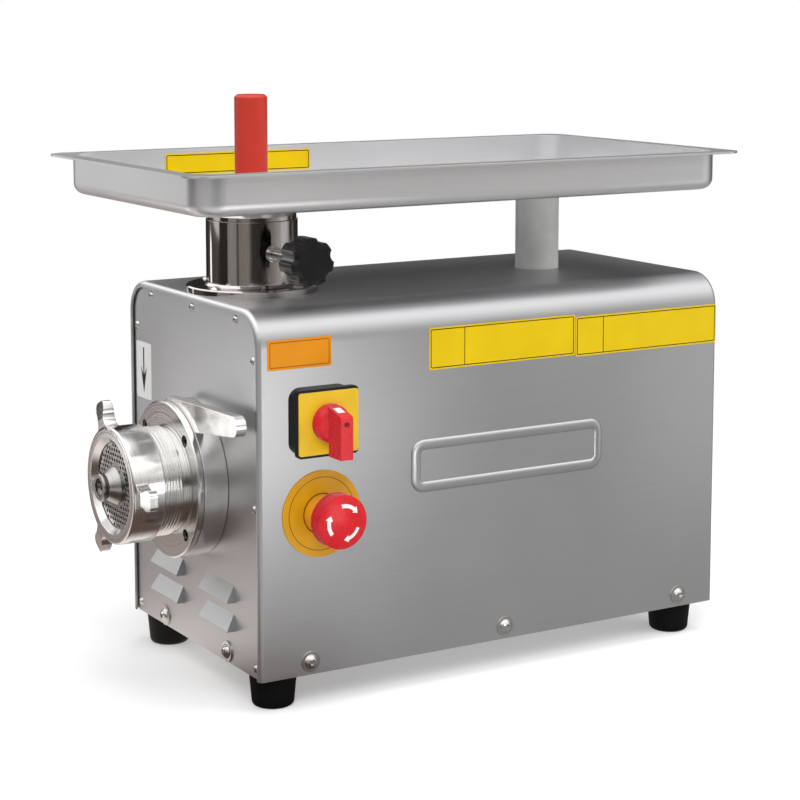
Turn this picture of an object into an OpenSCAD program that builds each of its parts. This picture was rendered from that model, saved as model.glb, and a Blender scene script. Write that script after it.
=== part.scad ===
/* [Housing] */
// Length of the housing, front lip to rear lip
housing_l = 421; // [412:1:460]
// Width of the housing over both sides
housing_w = 226; // [214:1:260]
// Height of the housing without its feet
housing_h = 273; // [262:1:300]
// Height of the feet under the housing
foot_h = 25; // [18:1:32]
// Thickness of the stainless sheet
sheet = 1.5; // [1.2:0.1:2]
// Outside radius of the two long top edges
top_r = 26; // [18:1:32]
// Radius of the rolled lip at both ends
lip_r = 4; // [3:0.25:5]
// How far the end panels sit behind the lips
panel_inset = 2.6; // [2:0.1:3.5]
// Gap round each end panel
panel_gap = 0.8; // [0.5:0.1:1.2]
// Thickness of the base plate
base_t = 2; // [1.5:0.25:3]
// Height of the base plate's turned-up flanges
base_flange_h = 20; // [16:1:26]

/* [Louvres] */
// Width of one louvre
louvre_w = 50; // [40:1:56]
// Height of one louvre
louvre_h = 12.5; // [10:0.5:15]
// How far a louvre stands out
louvre_out = 7; // [4:0.5:9]
// Sideways distance between the two columns
louvre_col = 88; // [74:1:96]
// Height between the rows
louvre_row = 22; // [17:1:26]
// Height of the lowest louvre above the floor
louvre_z = 52.5; // [50:0.5:60]

/* [Feet] */
// Radius of a foot where it meets the base
foot_r_top = 18; // [15:0.5:20]
// Radius of a foot at the floor
foot_r_floor = 16; // [12:0.5:17]
// Distance of the front feet from the front lip
foot_front = 22; // [20:1:40]
// Distance of the rear feet from the rear lip
foot_rear = 28; // [20:1:40]
// Distance of the feet from the sides
foot_side = 22; // [20:1:30]

/* [Grinding head] */
// Height of the head's axis above the floor
axis_z = 157.5; // [150:0.5:165]
// Radius of the cutting plate
plate_r = 35; // [33:0.5:36]
// Thickness of the cutting plate
plate_t = 8; // [6:0.5:10]
// Radius of one hole in the plate
hole_r = 1.4; // [1.2:0.05:1.5]
// Distance between neighbouring holes
hole_pitch = 4.4; // [4.2:0.1:5.2]
// Bore radius of the barrel round the auger
barrel_bore = 30; // [28:0.5:31]
// Crest radius of the barrel's thread
thread_r = 42; // [40:0.5:43]
// Pitch of the barrel's thread
thread_pitch = 2.6; // [2:0.1:3.2]
// Radius of the barrel behind its flange
spigot_r = 44; // [42.5:0.5:45]
// Radius of the flange and of the locking collar
flange_r = 60; // [57:0.5:62]
// Thickness of the barrel's flange
flange_t = 4; // [3.5:0.5:5]
// Outside radius of the ring nut
ring_r = 44.5; // [44:0.5:47]
// Length of the ring nut
ring_l = 26; // [24:0.5:28]
// Radius of the ring nut's mouth
mouth_r = 32.5; // [31:0.5:33]
// Reach of the ring nut's lugs from the axis
lug_reach = 65; // [60:0.5:67]
// Pitch of the auger's flight
auger_pitch = 38; // [30:1:46]
// Length of the lever from the head's axis
lever_l = 113; // [100:1:120]
// Height of the lever bar at its root
lever_h = 25; // [20:0.5:28]

/* [Throat and tray] */
// Distance of the throat from the front lip
throat_x = 54; // [50:0.5:58]
// Outside radius of the throat tube
throat_r = 35.3; // [34:0.1:36]
// Wall of the throat tube
throat_wall = 2.7; // [2:0.1:3.5]
// Height of the throat tube above the housing
throat_h = 55; // [48:1:62]
// Radius of the throat's flange
throat_flange_r = 51; // [49:1:54]
// Length of the tray over its rim
tray_l = 491; // [440:1:520]
// Width of the tray over its rim
tray_w = 267; // [240:1:290]
// Depth of the tray
tray_d = 31; // [24:1:40]
// Height of the tray's rim above the housing
tray_rise = 101; // [98:1:112]
// How far the tray reaches past the front lip
tray_front = 61; // [52:1:66]
// Width of the tray's rim
rim_w = 12; // [8:0.5:15]
// Thickness of the tray's sheet
tray_t = 1.2; // [1:0.1:1.6]
// Radius of the tray's upright corners
tray_r = 22; // [16:1:30]
// Radius of the tray's bottom edge
tray_edge_r = 9; // [6:0.5:11]
// Distance of the pillar from the front lip
pillar_x = 320; // [280:1:350]
// Radius of the support pillar
pillar_r = 18; // [14:0.5:22]
// Radius of the pusher's handle
handle_r = 12.6; // [10:0.2:15]
// Height of the pusher above the tray's rim
handle_h = 49; // [35:1:80]
// Radius of the locking knob
knob_r = 18; // [15:0.5:20]

/* [Controls] */
// Distance of the controls from the front lip
control_x = 51.2; // [46:0.2:60]
// Height of the main switch above the floor
switch_z = 216.5; // [212:0.5:222]
// Side of the switch's square front
switch_side = 49; // [46:0.5:52]
// Height of the emergency stop above the floor
stop_z = 145.8; // [142:0.1:150]
// Radius of the emergency stop's yellow disc
stop_disc_r = 32.4; // [28:0.2:34]
// Radius of the mushroom button
mushroom_r = 20; // [18:0.5:22]
// Travel of the mushroom button
stop_travel = 4; // [3:0.5:5]

/* [Drive] */
// Module of the first gear stage
module_1 = 1.5; // [1.4:0.05:1.55]
// Module of the second gear stage
module_2 = 2; // [1.9:0.05:2.05]
// Face width of the gears
gear_w = 16; // [12:0.5:17]
// Radius of the motor's can
motor_r = 68; // [66:1:74]
// Length of the motor's can
motor_l = 132; // [124:1:146]

/* [Hidden] */
$fn = 64;
eps = 0.01;

// Clearances that the fits share
run_fit = 0.05;      // radial play of a shaft in its bearing
part_gap = 0.3;      // play between pieces that move past each other
slip_gap = 0.2;      // play of a piece that drops into another

// Levels and faces that many pieces share
base_z = foot_h;
top_z = foot_h + housing_h;
side_y = housing_w / 2;
inner_y = side_y - sheet;
near_y = -side_y;
rim_z = top_z + tray_rise;
tray_z = rim_z - tray_d;
panel_x = panel_inset;
panel_back = panel_inset + sheet;
frame_depth = 16;
frame_bottom = base_z + base_t + slip_gap;

// Stations of the head along its axis, from the front
ring_x = -67;
plate_x = ring_x + 5;
ring_back = ring_x + ring_l;
knife_x = plate_x + plate_t;
knife_t = 10;
auger_x = knife_x + knife_t;
flange_x = -21;
collar_x = flange_x + flange_t + part_gap;
collar_back = panel_x - part_gap;
barrel_back = 96;
hub_l = 14;
head_nose = plate_x - hub_l;

// Gear train: tooth counts, axes and stations
pinion_teeth = 18;
wheel_1_teeth = 54;
wheel_2_teeth = 44;
counter_z = axis_z - module_2 * (pinion_teeth + wheel_2_teeth) / 2;
motor_z = counter_z + module_1 * (pinion_teeth + wheel_1_teeth) / 2;
box_x = 138;
box_wall = 8;
box_back = 206;
wheel_2_x = box_x + box_wall + 6;
wheel_1_x = wheel_2_x + gear_w + 8;
cover_t = 8;
bell_x = box_back + cover_t + 0.5;
bell_t = 10;
can_x = bell_x + bell_t;
can_back = can_x + motor_l;

// Controls, measured outwards from the near side
switch_x = control_x - 2;
switch_depth = 15.5;
switch_face_y = near_y - switch_depth;
switch_plate_t = 1.2;
dial_r = 14;
dial_t = 8;
dial_y = switch_face_y - switch_plate_t - part_gap;
grip_t = 10;
grip_out = 18;
grip_y = dial_y - dial_t - grip_out;
switch_shaft_r = 4;
stop_disc_t = 1.6;
stop_collar_r = 14;
stop_collar_l = 9;
stop_stem_r = 7;
stop_pin_r = 5;
mushroom_t = 17;
mushroom_y = near_y - 36;
mushroom_back = mushroom_y + mushroom_t;

// The origin lies under the middle of the whole object
nose_x = head_nose;
tail_x = tray_l - tray_front;
origin = [(nose_x + tail_x) / 2, (grip_y + tray_w / 2) / 2, 0];

steel = [0.66, 0.67, 0.68];
bright = [0.82, 0.83, 0.85];
dark = [0.1, 0.1, 0.11];
red = [0.78, 0.14, 0.14];
yellow = [0.93, 0.7, 0.05];
cast = [0.55, 0.57, 0.6];

// Puts a piece drawn from the front lip, middle plane and floor into the part's frame
module place() {
    translate(-origin) children();
}

// ---------- shared shapes ----------

module rounded_rect(w, h, r) {
    square([w - 2 * r, h], center = true);
    square([w, h - 2 * r], center = true);
    for (sx = [-1, 1], sy = [-1, 1])
        translate([sx * (w / 2 - r), sy * (h / 2 - r)]) circle(r);
}

// Extrudes a drawing made in Y and Z along X
module along_x(x, length) {
    translate([x, 0, 0]) rotate([90, 0, 90]) linear_extrude(length) children();
}

// Extrudes a drawing made in X and Z towards the near side, from the plane y
module along_near(y, length) {
    translate([0, y, 0]) rotate([90, 0, 0]) linear_extrude(length) children();
}

module rod_x(x, length, r, z = axis_z, y = 0) {
    translate([x, y, z]) rotate([0, 90, 0]) cylinder(h = length, r = r);
}

module ring_on_x(x, length, r_out, r_in, z = axis_z, y = 0) {
    difference() {
        rod_x(x, length, r_out, z, y);
        rod_x(x - 1, length + 2, r_in, z, y);
    }
}

module cone_x(x, length, r1, r2, z = axis_z, y = 0) {
    translate([x, y, z]) rotate([0, 90, 0]) cylinder(h = length, r1 = r1, r2 = r2);
}

// Spins a profile drawn as [along X, radius] about a line parallel to X
module spin_x(z = axis_z) {
    translate([0, 0, z]) rotate([0, 90, 0]) rotate_extrude() rotate(90) mirror([0, 1]) children();
}

// Outline of the housing, shrunk by inset on the sides and the top
module housing_outline(inset, bottom) {
    r = top_r - inset;
    w = housing_w - 2 * inset;
    translate([-w / 2, bottom]) square([w, top_z - top_r - bottom]);
    translate([-w / 2 + r, bottom]) square([w - 2 * r, top_z - inset - bottom]);
    for (s = [-1, 1]) translate([s * (w / 2 - r), top_z - top_r]) circle(r);
}

// Domed head with a hex socket, standing on z = 0, with its shank below
module socket_screw(head_r, head_h, shank_r, length) {
    dome_r = (head_r * head_r + head_h * head_h) / (2 * head_h);
    difference() {
        union() {
            intersection() {
                translate([0, 0, head_h - dome_r]) sphere(dome_r);
                cylinder(h = head_h, r = head_r);
            }
            translate([0, 0, -length]) cylinder(h = length + eps, r = shank_r);
        }
        translate([0, 0, head_h * 0.4]) cylinder(h = head_h, r = head_r * 0.42, $fn = 6);
    }
}

// ---------- housing ----------

// Section of the rolled lip: across the wall first, then along X
module lip_section() {
    intersection() {
        difference() {
            translate([lip_r, lip_r]) circle(lip_r);
            translate([lip_r, lip_r]) circle(lip_r - sheet);
        }
        square(lip_r);
    }
    translate([lip_r, 0]) square([1, sheet]);
}

// Sweeps a section round the sides and the top of the housing
module sweep_lip() {
    for (s = [0, 1]) mirror([0, s, 0]) {
        translate([0, side_y, base_z])
            linear_extrude(top_z - top_r - base_z) rotate(-90) lip_section();
        translate([0, side_y - top_r, top_z - top_r]) rotate([90, 0, 90])
            rotate_extrude(angle = 90) translate([top_r, 0]) mirror([1, 0]) lip_section();
    }
    translate([0, side_y - top_r, top_z]) rotate([90, 0, 0])
        linear_extrude(housing_w - 2 * top_r) rotate(-90) lip_section();
}

side_screw_xs = [42, housing_l / 2 + 4, housing_l - 36];
side_screw_z = base_z + 10;
badge_w = 176;
badge_h = 40;
badge_x = 217;
badge_z = 171;
badge_out = 1.5;
throat_hole_r = throat_r + slip_gap;
control_hole_r = 11;
throat_screw_pcd_r = throat_r + 9;
throat_screw_angles = [-65, 25, 115, 205];

module housing_shell() {
    color(steel) place() difference() {
        union() {
            difference() {
                along_x(lip_r, housing_l - 2 * lip_r) housing_outline(0, base_z);
                along_x(0, housing_l) housing_outline(sheet, base_z - 1);
            }
            sweep_lip();
            translate([housing_l, 0, 0]) mirror([1, 0, 0]) sweep_lip();
            // embossed name field, left plain: a frame with stepped flanks round a raised field
            for (k = [1 : 3]) along_near(near_y + sheet / 2, sheet / 2 + badge_out * k / 3)
                translate([badge_x, badge_z]) difference() {
                    rounded_rect(badge_w - 2 * k, badge_h - 2 * k, 10 - k);
                    rounded_rect(badge_w - 14 + 2 * k, badge_h - 14 + 2 * k, 4 + k);
                }
            along_near(near_y + sheet / 2, sheet / 2 + badge_out / 3) translate([badge_x, badge_z])
                rounded_rect(badge_w - 14, badge_h - 14, 5);
        }
        for (x = side_screw_xs, s = [0, 1]) mirror([0, s, 0])
            along_near(near_y + 2 * sheet, 4 * sheet) translate([x, side_screw_z]) circle(2.75);
        for (p = [[switch_x, switch_z], [control_x, stop_z]])
            along_near(near_y + 2 * sheet, 3 * sheet) translate(p) circle(control_hole_r);
        translate([throat_x, 0, top_z - 2 * sheet]) cylinder(h = 4 * sheet, r = throat_hole_r);
        for (a = throat_screw_angles)
            translate([throat_x, 0, top_z - 2 * sheet]) rotate(a)
                translate([throat_screw_pcd_r, 0]) cylinder(h = 4 * sheet, r = 2.3);
        translate([pillar_x, 0, top_z - 2 * sheet]) cylinder(h = 4 * sheet, r = 3.3);
    }
}

// Angle frame welded inside the shell, which the end panel screws to
module end_frame() {
    along_x(panel_back, sheet) difference() {
        housing_outline(lip_r, frame_bottom);
        housing_outline(frame_depth, frame_bottom - 1);
        for (p = panel_screw_spots) translate(p) circle(panel_screw_r);
    }
    along_x(panel_back + sheet, 12) difference() {
        housing_outline(sheet, frame_bottom);
        housing_outline(2 * sheet, frame_bottom - 1);
    }
    along_x(panel_back + sheet, sheet) difference() {
        housing_outline(sheet, frame_bottom);
        housing_outline(lip_r + 3, frame_bottom - 1);
    }
}

module front_frame() {
    color(steel) place() end_frame();
}

module rear_frame() {
    color(steel) place() translate([housing_l, 0, 0]) mirror([1, 0, 0]) end_frame();
}

panel_screw_r = 1.6;
panel_side = side_y - frame_depth / 2 - 3;
panel_screw_spots = [for (s = [-1, 1]) each [[s * panel_side, base_z + 8],
                                             [s * panel_side, base_z + housing_h * 0.465],
                                             [s * panel_side, top_z - top_r - 11],
                                             [s * (side_y - 39), top_z - 10]],
                     [0, top_z - 10]];
base_screw_y = 55;
base_screw_z = base_z + 8.5;
base_screw_r = 3;

module panel_outline() {
    housing_outline(lip_r + 1 + panel_gap, base_z + slip_gap);
}

// Pressed hood, open below: a wedge cut to slanting ends
module hood(grow) {
    h = louvre_h + grow;
    intersection() {
        translate([0, louvre_w, 0]) rotate([90, 0, 0]) linear_extrude(2 * louvre_w)
            polygon([[panel_x + sheet / 2, 0], [panel_x + sheet / 2, h],
                     [panel_x - eps, h], [panel_x - louvre_out - grow, 1], [panel_x - louvre_out - grow, 0]]);
        along_x(-2 * louvre_out, 4 * louvre_out)
            polygon([[-louvre_w / 2 - grow, 0], [louvre_w / 2 + grow, 0],
                     [louvre_w / 2 - 3 + grow, h], [3 - louvre_w / 2 - grow, h]]);
    }
}

louvre_spots = [for (s = [-1, 1], row = [0, 1]) [s * louvre_col / 2, louvre_z + row * louvre_row]];

module louvred_panel() {
    difference() {
        union() {
            along_x(panel_x, sheet) panel_outline();
            for (p = louvre_spots) translate([0, p[0], p[1]]) hood(0);
        }
        for (p = louvre_spots) translate([0, p[0], p[1] - 1]) {
            hood(-1.2);
            translate([panel_x, 2 - louvre_w / 2, 1]) cube([2 * sheet, louvre_w - 4, louvre_h - 3]);
        }
        along_x(panel_x - 1, 3 * sheet) {
            for (p = panel_screw_spots) translate(p) circle(panel_screw_r + 0.1);
            for (s = [-1, 1]) translate([s * base_screw_y, base_screw_z]) circle(base_screw_r + 0.2);
            children();
        }
    }
}

module front_panel() {
    color(steel) place() louvred_panel() translate([0, axis_z]) circle(sleeve_r + 0.5);
}

gland_y = 70;
gland_z = base_z + 113;
gland_thread_r = 10;
gland_bore_r = 4;

module rear_panel() {
    color(steel) place() translate([housing_l, 0, 0]) mirror([1, 0, 0])
        louvred_panel() translate([gland_y, gland_z]) circle(gland_thread_r + slip_gap);
}

// Strain-relief gland: flange nut, body and clamping cap round a clear bore
module cable_gland() {
    x0 = housing_l - panel_x;
    color(dark) place() difference() {
        union() {
            rod_x(x0 - 12, 14, gland_thread_r, gland_z, gland_y);
            translate([x0, gland_y, gland_z]) rotate([0, 90, 0]) cylinder(h = 5, r = 13.5, $fn = 6);
            cone_x(x0 + 5, 6, 11, 9, gland_z, gland_y);
            translate([x0 - sheet - 5.5, gland_y, gland_z]) rotate([0, 90, 0])
                cylinder(h = 5.5, r = 14, $fn = 6);
        }
        rod_x(x0 - 20, 50, gland_bore_r, gland_z, gland_y);
    }
}

foot_spots = [for (x = [foot_front, housing_l - foot_rear], s = [-1, 1]) [x, s * (side_y - foot_side)]];
foot_bolt_r = 3;

module base_plate() {
    y_in = inner_y - slip_gap;
    color(steel) place() difference() {
        union() {
            translate([panel_back, -y_in, base_z]) cube([housing_l - 2 * panel_back, 2 * y_in, base_t]);
            for (s = [0, 1]) mirror([0, s, 0])
                translate([panel_back + 18, y_in - base_t, base_z])
                    cube([housing_l - 2 * (panel_back + 18), base_t, base_flange_h]);
            for (x = [panel_back, housing_l - panel_back - base_t])
                translate([x, frame_depth + 2 - side_y, base_z])
                    cube([base_t, housing_w - 2 * frame_depth - 4, base_flange_h]);
        }
        for (p = foot_spots) translate([p[0], p[1], base_z - 1])
            cylinder(h = base_t + 2, r = foot_bolt_r + 0.2);
        for (s = [-1, 1]) rod_x(-1, housing_l + 2, base_screw_r + 0.2, base_screw_z, s * base_screw_y);
        for (x = side_screw_xs) along_near(side_y, housing_w) translate([x, side_screw_z]) circle(2.75);
        // breathing slots below the motor
        for (i = [0 : 6]) translate([can_x + 8 + i * 18, -40, base_z - 1]) {
            translate([0, 4, 0]) cube([6, 72, base_t + 2]);
            for (y = [4, 76]) translate([3, y, 0]) cylinder(h = base_t + 2, r = 3);
        }
    }
}

foot_recess_r = 8;
foot_recess_h = 13;
foot_edge_r = 4;

module foot() {
    rotate_extrude() difference() {
        union() {
            polygon([[0, foot_edge_r], [foot_r_floor, foot_edge_r], [foot_r_top, foot_h], [0, foot_h]]);
            square([foot_r_floor - foot_edge_r, foot_edge_r + eps]);
            translate([foot_r_floor - foot_edge_r, foot_edge_r]) intersection() {
                circle(foot_edge_r);
                translate([0, -foot_edge_r]) square([foot_edge_r, foot_edge_r + eps]);
            }
        }
        square([foot_bolt_r + 0.2, foot_h + 1]);
        translate([0, -1]) square([foot_recess_r, foot_recess_h + 1]);
    }
}

module feet() {
    color(dark) place() for (p = foot_spots) translate([p[0], p[1], 0]) foot();
}

module foot_bolts() {
    color(bright) place() for (p = foot_spots) translate([p[0], p[1], foot_recess_h]) {
        mirror([0, 0, 1]) socket_screw(6.5, 4, foot_bolt_r, foot_h - foot_recess_h + base_t + 4);
        translate([0, 0, foot_h - foot_recess_h + base_t]) difference() {
            cylinder(h = 5, r = 5.6, $fn = 6);
            translate([0, 0, -1]) cylinder(h = 7, r = foot_bolt_r);
        }
    }
}

module both_ends() {
    children();
    translate([housing_l, 0, 0]) mirror([1, 0, 0]) children();
}

module panel_screws() {
    color(bright) place() both_ends() for (p = panel_screw_spots)
        translate([panel_x, p[0], p[1]]) rotate([0, -90, 0]) socket_screw(3.4, 2.2, panel_screw_r, 8);
}

module base_screws() {
    color(bright) place() both_ends() for (s = [-1, 1])
        translate([panel_x, s * base_screw_y, base_screw_z]) rotate([0, -90, 0]) {
            translate([0, 0, 1.2]) socket_screw(5.5, 3.4, base_screw_r, 12);
            difference() {
                cylinder(h = 1.2, r = 8);
                translate([0, 0, -1]) cylinder(h = 4, r = base_screw_r);
            }
        }
}

module side_screws() {
    color(bright) place() for (x = side_screw_xs, s = [0, 1]) mirror([0, s, 0])
        translate([x, near_y, side_screw_z]) rotate([90, 0, 0]) {
            translate([0, 0, 0.8]) socket_screw(5.5, 3.3, 2.5, 8);
            difference() {
                cylinder(h = 0.8, r = 7.5);
                translate([0, 0, -1]) cylinder(h = 3, r = 2.5);
            }
        }
}

// ---------- controls on the near side ----------

module switch_body() {
    front_l = 5;
    color(dark) place() translate([switch_x, near_y, switch_z]) rotate([90, 0, 0]) difference() {
        union() {
            linear_extrude(switch_depth - front_l + eps) rounded_rect(switch_side, switch_side, 9);
            translate([0, 0, switch_depth - front_l]) linear_extrude(front_l)
                rounded_rect(switch_side + 1, switch_side + 1, 3);
        }
        translate([0, 0, -1]) cylinder(h = switch_depth + 2, r = switch_shaft_r + part_gap);
    }
}

module switch_plate() {
    color(yellow) place() along_near(switch_face_y, switch_plate_t)
        translate([switch_x, switch_z]) difference() {
            rounded_rect(switch_side, switch_side - 3, 2);
            circle(switch_shaft_r + part_gap);
        }
}

// Domed dial with a tall grip; its slanting top carries the pointer
module switch_handle() {
    color(red) place() translate([switch_x, dial_y, switch_z]) {
        rotate([90, 0, 0]) {
            cylinder(h = dial_t - 2, r = dial_r);
            translate([0, 0, dial_t - 2]) cylinder(h = 2, r1 = dial_r, r2 = dial_r - 2.5);
        }
        difference() {
            translate([-grip_t / 2, 0, 0]) rotate([90, 0, 90]) linear_extrude(grip_t)
                polygon([[0, dial_r - 0.5], [-dial_t, dial_r - 1], [-dial_t - grip_out + 1, 8.5],
                         [-dial_t - grip_out, 7], [-dial_t - grip_out, -23], [-dial_t, -23],
                         [-dial_t, -dial_r + 1], [0, -dial_r + 1]]);
            translate([0, -dial_t - grip_out + 6, 2.5]) rotate([90, 0, 0]) cylinder(h = 12, r = 2.4);
        }
        rotate([-90, 0, 0]) cylinder(h = switch_depth + 6, r = switch_shaft_r);
    }
}

block_y = near_y + sheet;

module contact_block(z, w, depth, bore_r, bore_depth) {
    difference() {
        translate([control_x - w / 2, block_y, z - w / 2]) cube([w, depth, w]);
        translate([control_x, block_y - 1, z]) rotate([-90, 0, 0]) cylinder(h = bore_depth + 1, r = bore_r);
        for (sx = [-1, 1], k = [0, 1])
            translate([control_x + sx * w / 4 - 3, block_y + 12 + 14 * k, z + w / 2 - 3]) cube([6, 6, 4]);
    }
}

module switch_block() {
    color([0.25, 0.25, 0.27]) place() translate([switch_x - control_x, 0, 0])
        contact_block(switch_z, 40, 40, switch_shaft_r + part_gap, 10);
}

module stop_disc() {
    color(yellow) place() along_near(near_y, stop_disc_t) translate([control_x, stop_z]) difference() {
        circle(stop_disc_r);
        circle(control_hole_r);
    }
}

module stop_collar() {
    color([0.96, 0.6, 0.05]) place() translate([control_x, near_y, stop_z]) rotate([90, 0, 0])
        difference() {
            union() {
                translate([0, 0, stop_disc_t]) cylinder(h = stop_collar_l, r = stop_collar_r);
                translate([0, 0, stop_disc_t + stop_collar_l])
                    cylinder(h = 2.5, r1 = stop_collar_r, r2 = stop_collar_r - 2.5);
                translate([0, 0, -10]) cylinder(h = 12, r = control_hole_r - slip_gap);
            }
            translate([0, 0, -11]) cylinder(h = 40, r = stop_stem_r + part_gap);
        }
}

// Mushroom head: rounded rim and a gently domed face
module stop_button() {
    face_r = 60;
    edge = 4;
    color(red) place() translate([control_x, mushroom_back, stop_z]) rotate([90, 0, 0]) difference() {
        intersection() {
            union() {
                translate([0, 0, 2]) cylinder(h = mushroom_t, r = mushroom_r);
                cylinder(h = 2, r1 = mushroom_r - 2, r2 = mushroom_r);
            }
            rotate_extrude() union() {
                square([mushroom_r - edge, mushroom_t]);
                square([mushroom_r, mushroom_t - edge]);
                translate([mushroom_r - edge, mushroom_t - edge]) circle(edge);
            }
            translate([0, 0, mushroom_t - face_r]) sphere(face_r);
        }
        translate([0, 0, -1]) cylinder(h = 7, r = stop_pin_r + run_fit);
        translate([0, 0, 4.6]) difference() {
            cylinder(h = 1.2, r = mushroom_r + 1);
            translate([0, 0, -1]) cylinder(h = 4, r = mushroom_r - 1);
        }
    }
}

// Plunger that runs through the collar into the contact block
module stop_stem() {
    stem_l = near_y + 14 - mushroom_back - part_gap;
    color([0.2, 0.2, 0.2]) place() translate([control_x, mushroom_back + part_gap, stop_z]) {
        rotate([-90, 0, 0]) cylinder(h = stem_l, r = stop_stem_r);
        translate([0, -5.5, 0]) rotate([-90, 0, 0]) cylinder(h = 6, r = stop_pin_r);
    }
}

module stop_block() {
    color([0.25, 0.25, 0.27]) place() translate([0, 10.5, 0])
        contact_block(stop_z, 32, 34, stop_stem_r + part_gap, 14);
}

// ---------- throat and tray ----------

throat_bore = throat_r - throat_wall;
throat_top = top_z + throat_h;
throat_foot = axis_z + spigot_r + 30;
throat_flange_t = 5;
knob_z = top_z + 31;
stud_r = 4;
neck_r = throat_bore - part_gap;
neck_wall = 1.5;
neck_bore = neck_r - neck_wall;
neck_foot = top_z - 8;
boss_r = 9;

// Tube with a cast flange, which carries the tray's neck and feeds the barrel below
module throat_tube() {
    color(bright) place() translate([throat_x, 0, 0]) difference() {
        union() {
            translate([0, 0, throat_foot]) cylinder(h = throat_top - throat_foot, r = throat_r);
            translate([0, 0, top_z]) cylinder(h = throat_flange_t - 1, r = throat_flange_r);
            translate([0, 0, top_z + throat_flange_t - 1])
                cylinder(h = 1, r1 = throat_flange_r, r2 = throat_flange_r - 1);
            translate([0, 0, top_z + throat_flange_t]) cylinder(h = 2, r1 = throat_r + 2, r2 = throat_r);
            translate([0, -throat_bore - 1, knob_z]) rotate([90, 0, 0])
                cylinder(h = throat_wall + 3, r = boss_r - 3);
        }
        translate([0, 0, throat_foot - 1]) cylinder(h = throat_top - throat_foot + 2, r = throat_bore);
        translate([0, -throat_bore + 4, knob_z]) rotate([90, 0, 0]) cylinder(h = 20, r = stud_r + run_fit);
        for (a = throat_screw_angles) rotate(a) translate([throat_screw_pcd_r, 0, top_z - 1])
            cylinder(h = throat_flange_t + 2, r = 2.3);
    }
}

module throat_screws() {
    color(bright) place() translate([throat_x, 0, top_z + throat_flange_t])
        for (a = throat_screw_angles) rotate(a) translate([throat_screw_pcd_r, 0, 0])
            socket_screw(4, 2.4, 2.1, throat_flange_t + sheet - 0.1);
}

knob_lobes = 7;
knob_t = 22;
knob_face_y = -99;
knob_back_y = knob_face_y + knob_t;
stud_tip_y = -(neck_r + part_gap);

// Scalloped grip with a bevelled face and a short hub behind it
module lock_knob() {
    color(dark) place() translate([throat_x, knob_back_y, knob_z]) rotate([90, 0, 0]) difference() {
        union() {
            translate([0, 0, 1]) linear_extrude(knob_t - 3) star_outline(knob_r);
            linear_extrude(knob_t - 1) star_outline(knob_r - 1);
            linear_extrude(knob_t) star_outline(knob_r - 2.5);
            translate([0, 0, -7]) cylinder(h = 7.1, r1 = 6.5, r2 = 8);
        }
        translate([0, 0, -8]) cylinder(h = 14, r = stud_r);
    }
}

module star_outline(r) {
    difference() {
        circle(r);
        for (i = [0 : knob_lobes - 1]) rotate((i + 0.5) * 360 / knob_lobes + 90)
            translate([knob_r + 3.5, 0]) circle(6 + knob_r - r);
    }
}

module lock_stud() {
    color(bright) place() translate([throat_x, stud_tip_y, knob_z]) rotate([90, 0, 0])
        cylinder(h = stud_tip_y - knob_back_y + 6, r = stud_r);
}

tray_x = tail_x - tray_l / 2;
pan_l = tray_l - 2 * rim_w;
pan_w = tray_w - 2 * rim_w;
rim_t = 1.6;

// Solid pan: upright corners of radius r and a bottom edge of radius e, standing on z = 0
module pan_solid(l, w, h, r, e) {
    translate([0, 0, e]) linear_extrude(h - e) rounded_rect(l, w, r);
    linear_extrude(e + eps) rounded_rect(l - 2 * e, w - 2 * e, r - e);
    for (s = [-1, 1]) {
        translate([s * (l / 2 - e), r - w / 2, e]) rotate([-90, 0, 0]) cylinder(h = w - 2 * r, r = e);
        translate([r - l / 2, s * (w / 2 - e), e]) rotate([0, 90, 0]) cylinder(h = l - 2 * r, r = e);
    }
    for (sx = [0, 1], sy = [0, 1]) mirror([sx, 0]) mirror([0, sy])
        translate([l / 2 - r, w / 2 - r, 0]) rotate_extrude(angle = 90) union() {
            square([r - e, e + 1]);
            translate([r - e, e]) intersection() {
                circle(e);
                translate([-eps, -e]) square([e + eps, e + eps]);
            }
        }
}

module tray() {
    color(steel) place() difference() {
        union() {
            translate([tray_x, 0, tray_z]) pan_solid(pan_l, pan_w, tray_d, tray_r, tray_edge_r);
            translate([tray_x, 0, rim_z - rim_t]) linear_extrude(rim_t)
                rounded_rect(tray_l, tray_w, tray_r - 6);
        }
        translate([tray_x, 0, tray_z + tray_t])
            pan_solid(pan_l - 2 * tray_t, pan_w - 2 * tray_t, tray_d + 1,
                      tray_r - tray_t, tray_edge_r - tray_t);
        translate([throat_x, 0, tray_z - 1]) cylinder(h = tray_t + 2, r = neck_bore);
    }
}

// Neck welded under the tray: a flared shoulder, then a sleeve inside the throat
module tray_neck() {
    shoulder_z = throat_top + part_gap;
    color(bright) place() translate([throat_x, 0, 0]) difference() {
        union() {
            translate([0, 0, neck_foot]) cylinder(h = tray_z - neck_foot, r = neck_r);
            translate([0, 0, shoulder_z]) cylinder(h = 3, r = throat_r - 1);
            translate([0, 0, shoulder_z + 3])
                cylinder(h = tray_z - shoulder_z - 3, r1 = throat_r - 1, r2 = throat_r - 3);
        }
        translate([0, 0, neck_foot - 1]) cylinder(h = tray_z - neck_foot + 2, r = neck_bore);
    }
}

module support_pillar() {
    color([0.92, 0.92, 0.9]) place() translate([pillar_x, 0, top_z]) difference() {
        union() {
            cylinder(h = tray_z - part_gap - top_z - 1, r = pillar_r);
            translate([0, 0, tray_z - part_gap - top_z - 1])
                cylinder(h = 1, r1 = pillar_r, r2 = pillar_r - 1);
        }
        translate([0, 0, -1]) cylinder(h = 26, r = 3);
    }
}

module pillar_screw() {
    color(bright) place() translate([pillar_x, 0, top_z - sheet]) rotate([180, 0, 0])
        socket_screw(5.5, 3.3, 3, 22 + sheet);
}

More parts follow.
